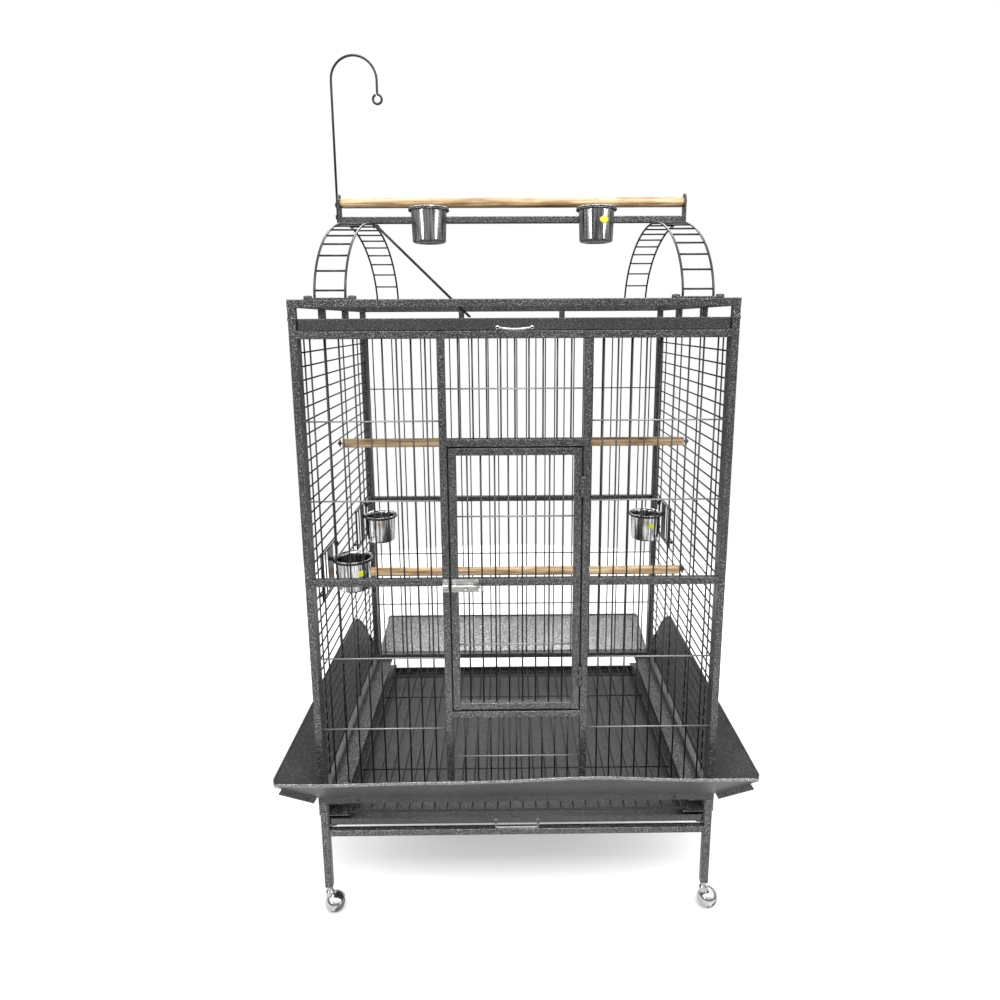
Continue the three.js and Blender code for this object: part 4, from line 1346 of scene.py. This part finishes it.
def cup_profile(top, height):
    """A drawn cup: shallow ring in the bottom, rounded foot, straight wall, flared and rolled rim."""
    rim = 0.0470
    thick = 0.0009
    bottom = top - height
    foot_x = CUP_FOOT - CUP_TURN
    foot_z = bottom + 0.0062

    def foot(radius):
        return [(foot_x + x, foot_z + z) for x, z in arc((0, 0), radius, -80, -5, 7)]

    def base(lift):
        return [(0, bottom + 0.0014 + lift), (0.024, bottom + 0.0014 + lift),
                (0.0255, bottom + 0.0002 + lift), (0.033, bottom + lift)]

    outside = base(0) + foot(CUP_TURN) + [(CUP_NECK, top - 0.010), (CUP_WALL, top - 0.0062)]
    flare = [(CUP_WALL + 0.0012, top - 0.0036), (rim - 0.0012, top - 0.0028)]
    lip = [(rim - 0.0008 + x, top - 0.0014 + z) for x, z in arc((0, 0), 0.0013, -90, 110, 8)]
    back = [(CUP_WALL + 0.0010, top - 0.0018), (CUP_WALL - thick, top - 0.0052),
            (CUP_NECK - thick, top - 0.010)]
    return outside + flare + lip + back + foot(CUP_TURN - thick)[::-1] + base(thick)[::-1]


def sticker(node, turn_degrees):
    """A blank oval label, a skin thick, wrapped round the cup's wall."""
    low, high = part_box(node)
    centre = middle_of(node)
    patch = Shape(Matrix.Translation((centre.x, centre.y, 0)))
    wide, tall = 0.0115, 0.0078
    middle = high.z - 0.0325
    wall_low, wall_high = low.z + 0.006, high.z - 0.010
    steps, rings = 28, 4
    inside = [(0.0001, k / rings) for k in range(rings + 1)]
    outside = [(0.00025, k / rings) for k in reversed(range(rings + 1))]
    points = []
    for depth, size in inside + outside:
        for i in range(steps):
            angle = 2 * math.pi * i / steps
            z = middle + tall * math.sin(angle) * size
            share = (z - wall_low) / (wall_high - wall_low)
            radius = CUP_FOOT + (CUP_NECK - CUP_FOOT) * share + depth
            turn = math.radians(turn_degrees) + wide * math.cos(angle) * size / radius
            points.append((radius * math.cos(turn), radius * math.sin(turn), z))
    patch.add(points, quads(2 * (rings + 1), steps), True)
    patch.piece(node + "_label", node, label)


def cup(node):
    low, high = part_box(node)
    centre = middle_of(node)
    shape = Shape(Matrix.Translation((centre.x, centre.y, 0)))
    lathe(shape, cup_profile(high.z, high.z - low.z), sides=64)
    shape.piece(node + "_steel", node, steel, node)


def cup_holder(leaf, word, side, x, y, low, high):
    """The plate on a leaf's inside, and the strap and ring that a cup hangs in."""
    plate_x = sorted((x - side * (WIRE + 0.0015), x - side * (WIRE - 0.0004)))
    bar(leaf, plate_x, around(y, 0.044), (low - 0.001, high + 0.001), 0.0006)
    centre = middle_of("food_cup_" + word)
    ring_z = ring_height("food_cup_" + word)
    ring(leaf, (centre.x, centre.y, ring_z))
    strap_x = sorted((centre.x + side * (RING_RADIUS - 0.002), x - side * (WIRE + 0.001)))
    bar(leaf, strap_x, around(y, 0.016), around(ring_z, 0.004), 0.0006)


def feeder_door(word, side, y):
    """A wire leaf with its hinge eyes, its cup holder, and a knob."""
    node = "feeder_door_" + word
    body = "feeder_" + word
    x = side * (HALF_WIDTH - TUBE / 2)
    low = side_wire_z(FEEDER_SILL) + 0.007
    high = side_wire_z(FEEDER_HEADER) - 0.007
    hinge_at = y + FEEDER_HALF
    free_at = y - FEEDER_HALF + 0.0065
    frame_at = hinge_at - 0.009
    seam = (free_at + frame_at) / 2
    leaf = Shape()
    loop = [(seam, low), (frame_at, low), (frame_at, high), (free_at, high), (free_at, low),
            (seam - 0.0001, low)]
    path = rounded_path([(x, at, z) for at, z in loop], 0.005)
    sweep(leaf, path[:-1], round_section(WIRE), up=(1, 0, 0), closed=True)
    step = (frame_at - free_at) / 4
    for i in (1, 2, 3):
        at = free_at + i * step
        wire(leaf, (x, at, low), (x, at, high))
    eye = [(0.0031, -0.004), (0.0056, -0.004), (0.0058, -0.0035), (0.0058, 0.0035), (0.0056, 0.004),
           (0.0031, 0.004), (0.0031, -0.004)]
    for z in (low + 0.012, high - 0.012):
        lathe(leaf, eye, Matrix.Translation((x, hinge_at, z)), 20)
        bar(leaf, around(x, 2 * WIRE), (frame_at, hinge_at - 0.0042), around(z, 0.006), 0.0006)
    cup_holder(leaf, word, side, x, y, low, high)
    leaf.piece(node + "_wires", body, wire_coat, node)
    knob = Shape()
    profile = [(0, -0.002), (0.002, -0.002), (0.002, 0.005), (0.0035, 0.0062), (0.0044, 0.0085),
               (0.0044, 0.0115), (0.003, 0.0136), (0, 0.014)]
    lathe(knob, profile, aim((x, free_at + 0.003, low + 0.005), (side, 0, 0)), 20)
    knob.piece(node + "_knob", body, wire_coat)


# ---- studio ----

WHITE = (1.0, 1.0, 1.0, 1.0)


def floor():
    """A plain pale round floor; a little emission keeps the shadow under the cage faint."""
    radius = 2.4
    mesh = bpy.data.meshes.new("floor")
    rim = [(x, y, 0.0) for x, y in arc((0, 0), radius, 0, 360, 96)[:-1]]
    mesh.from_pydata(rim, [], [list(range(len(rim)))])
    obj = bpy.data.objects.new("floor", mesh)
    bpy.context.scene.collection.objects.link(obj)
    m = Material("pale_floor")
    m.set(Base_Color=m.ramp(m.noise(3.0, 2.0), (0.3, grey(0.52)), (0.7, grey(0.55))), Roughness=0.9,
          Emission_Color=WHITE, Emission_Strength=0.36, Specular_IOR_Level=0.0)
    mesh.materials.append(m.holder)


def backdrop():
    """Plain white to the camera; to all other rays a dark horizon that brightens to a soft ceiling."""
    world = bpy.data.worlds.new("studio")
    bpy.context.scene.world = world
    bpy.context.scene.view_settings.view_transform = "Standard"
    m = Nodes(world, "Background")
    height = m.add("SeparateXYZ", "Z", Vector=m.add("TexCoord", "Generated"))
    glow = m.add("MapRange", "Result", Value=height, From_Min=0.15, From_Max=0.75, To_Min=0.30,
                 To_Max=2.2)
    to_camera = m.add("LightPath", "Is Camera Ray")
    m.set(Color=WHITE, Strength=m.add("MapRange", "Result", Value=to_camera, To_Min=glow, To_Max=1.0))


def area_light(name, spot, target, width, height, power):
    light = bpy.data.lights.new(name, "AREA")
    light.shape = "RECTANGLE"
    light.size = width
    light.size_y = height
    light.energy = power
    obj = bpy.data.objects.new(name, light)
    obj.matrix_world = aim(spot, Vector(spot) - Vector(target))
    bpy.context.scene.collection.objects.link(obj)


def studio():
    floor()
    backdrop()
    middle = (0, 0, 1.0)
    area_light("high_front", (0.2, -2.6, 3.7), (0, 0.1, 0.8), 2.8, 1.1, 130)
    area_light("left_strip", (-2.6, -2.2, 1.9), middle, 0.35, 2.4, 24)
    area_light("right_strip", (2.9, -1.6, 1.9), middle, 0.35, 2.4, 20)
    area_light("back_top", (0.0, 2.0, 3.4), middle, 2.4, 0.8, 40)


def camera():
    """The photograph's viewpoint, in front of the cage and a little above its middle."""
    focal_share = 0.6865
    yaw = math.radians(0.51)
    pitch = math.radians(-11.02)
    roll = math.radians(-0.286)
    ahead = Vector((math.sin(yaw), math.cos(yaw), 0))
    level = Vector((math.cos(yaw), -math.sin(yaw), 0))
    forward = ahead * math.cos(pitch) + Vector((0, 0, math.sin(pitch)))
    upright = level.cross(forward)
    right = level * math.cos(roll) + upright * math.sin(roll)
    up = upright * math.cos(roll) - level * math.sin(roll)
    data = bpy.data.cameras.new("camera")
    data.sensor_width = 36.0
    data.lens = focal_share * data.sensor_width
    data.shift_x = -0.013
    data.shift_y = -0.045
    data.clip_start = 0.05
    data.clip_end = 60
    obj = bpy.data.objects.new("camera", data)
    turn = Matrix((right, up, -forward)).transposed().to_4x4()
    obj.matrix_world = Matrix.Translation((-0.0172, -1.7666, 1.389)) @ turn
    bpy.context.scene.collection.objects.link(obj)
    bpy.context.scene.camera = obj


camera()
studio()
front_side("front_panel_left", -1)
front_side("front_panel_right", 1)
doorway_pieces()
door_stops_and_gap_shade()
door()
latch_plate()
latch_bolt()
back_panel()
side_panel("left_side", LEFT, -1, (FRONT_FEEDER, REAR_FEEDER),
           ["left_panel_" + w for w in ("lower", "upper", "front", "middle", "rear")])
side_panel("right_side", RIGHT, 1, (REAR_FEEDER,),
           ["right_panel_" + w for w in ("lower", "upper", "front", "rear")])
roof()
bottom_tray()
upper_tray()
floor_grille()
guides()
stand()
for word, sx, sy in CORNERS:
    caster_hood(word)
    caster_wheel(word)
guard("front", FRONT, HALF_WIDTH, "mitre", "mitre", 0.009)
guard("rear", BACK, HALF_WIDTH, "inset", "inset")
guard("left", LEFT, HALF_DEPTH, "free", "mitre")
guard("right", RIGHT, HALF_DEPTH, "mitre", "free")
for word, sx, sy in CORNERS[:2]:
    guard_flange(word, sx, sy)
for word, sx, sy in CORNERS:
    corner_tab(word, sx, sy)
playtop_rim()
ladder_arch("left", -1)
ladder_arch("right", 1)
perch_rail()
perches()
toy_hook()
climbing_ladder()
for word, side, y in (("front_left", -1, FRONT_FEEDER), ("rear_left", -1, REAR_FEEDER),
                      ("rear_right", 1, REAR_FEEDER)):
    feeder_door(word, side, y)
for node, label_turn in (("food_cup_front_left", -50), ("food_cup_rear_left", None),
                         ("food_cup_rear_right", -75), ("top_cup_left", None), ("top_cup_right", -70)):
    cup(node)
    if label_turn is not None:
        sticker(node, label_turn)
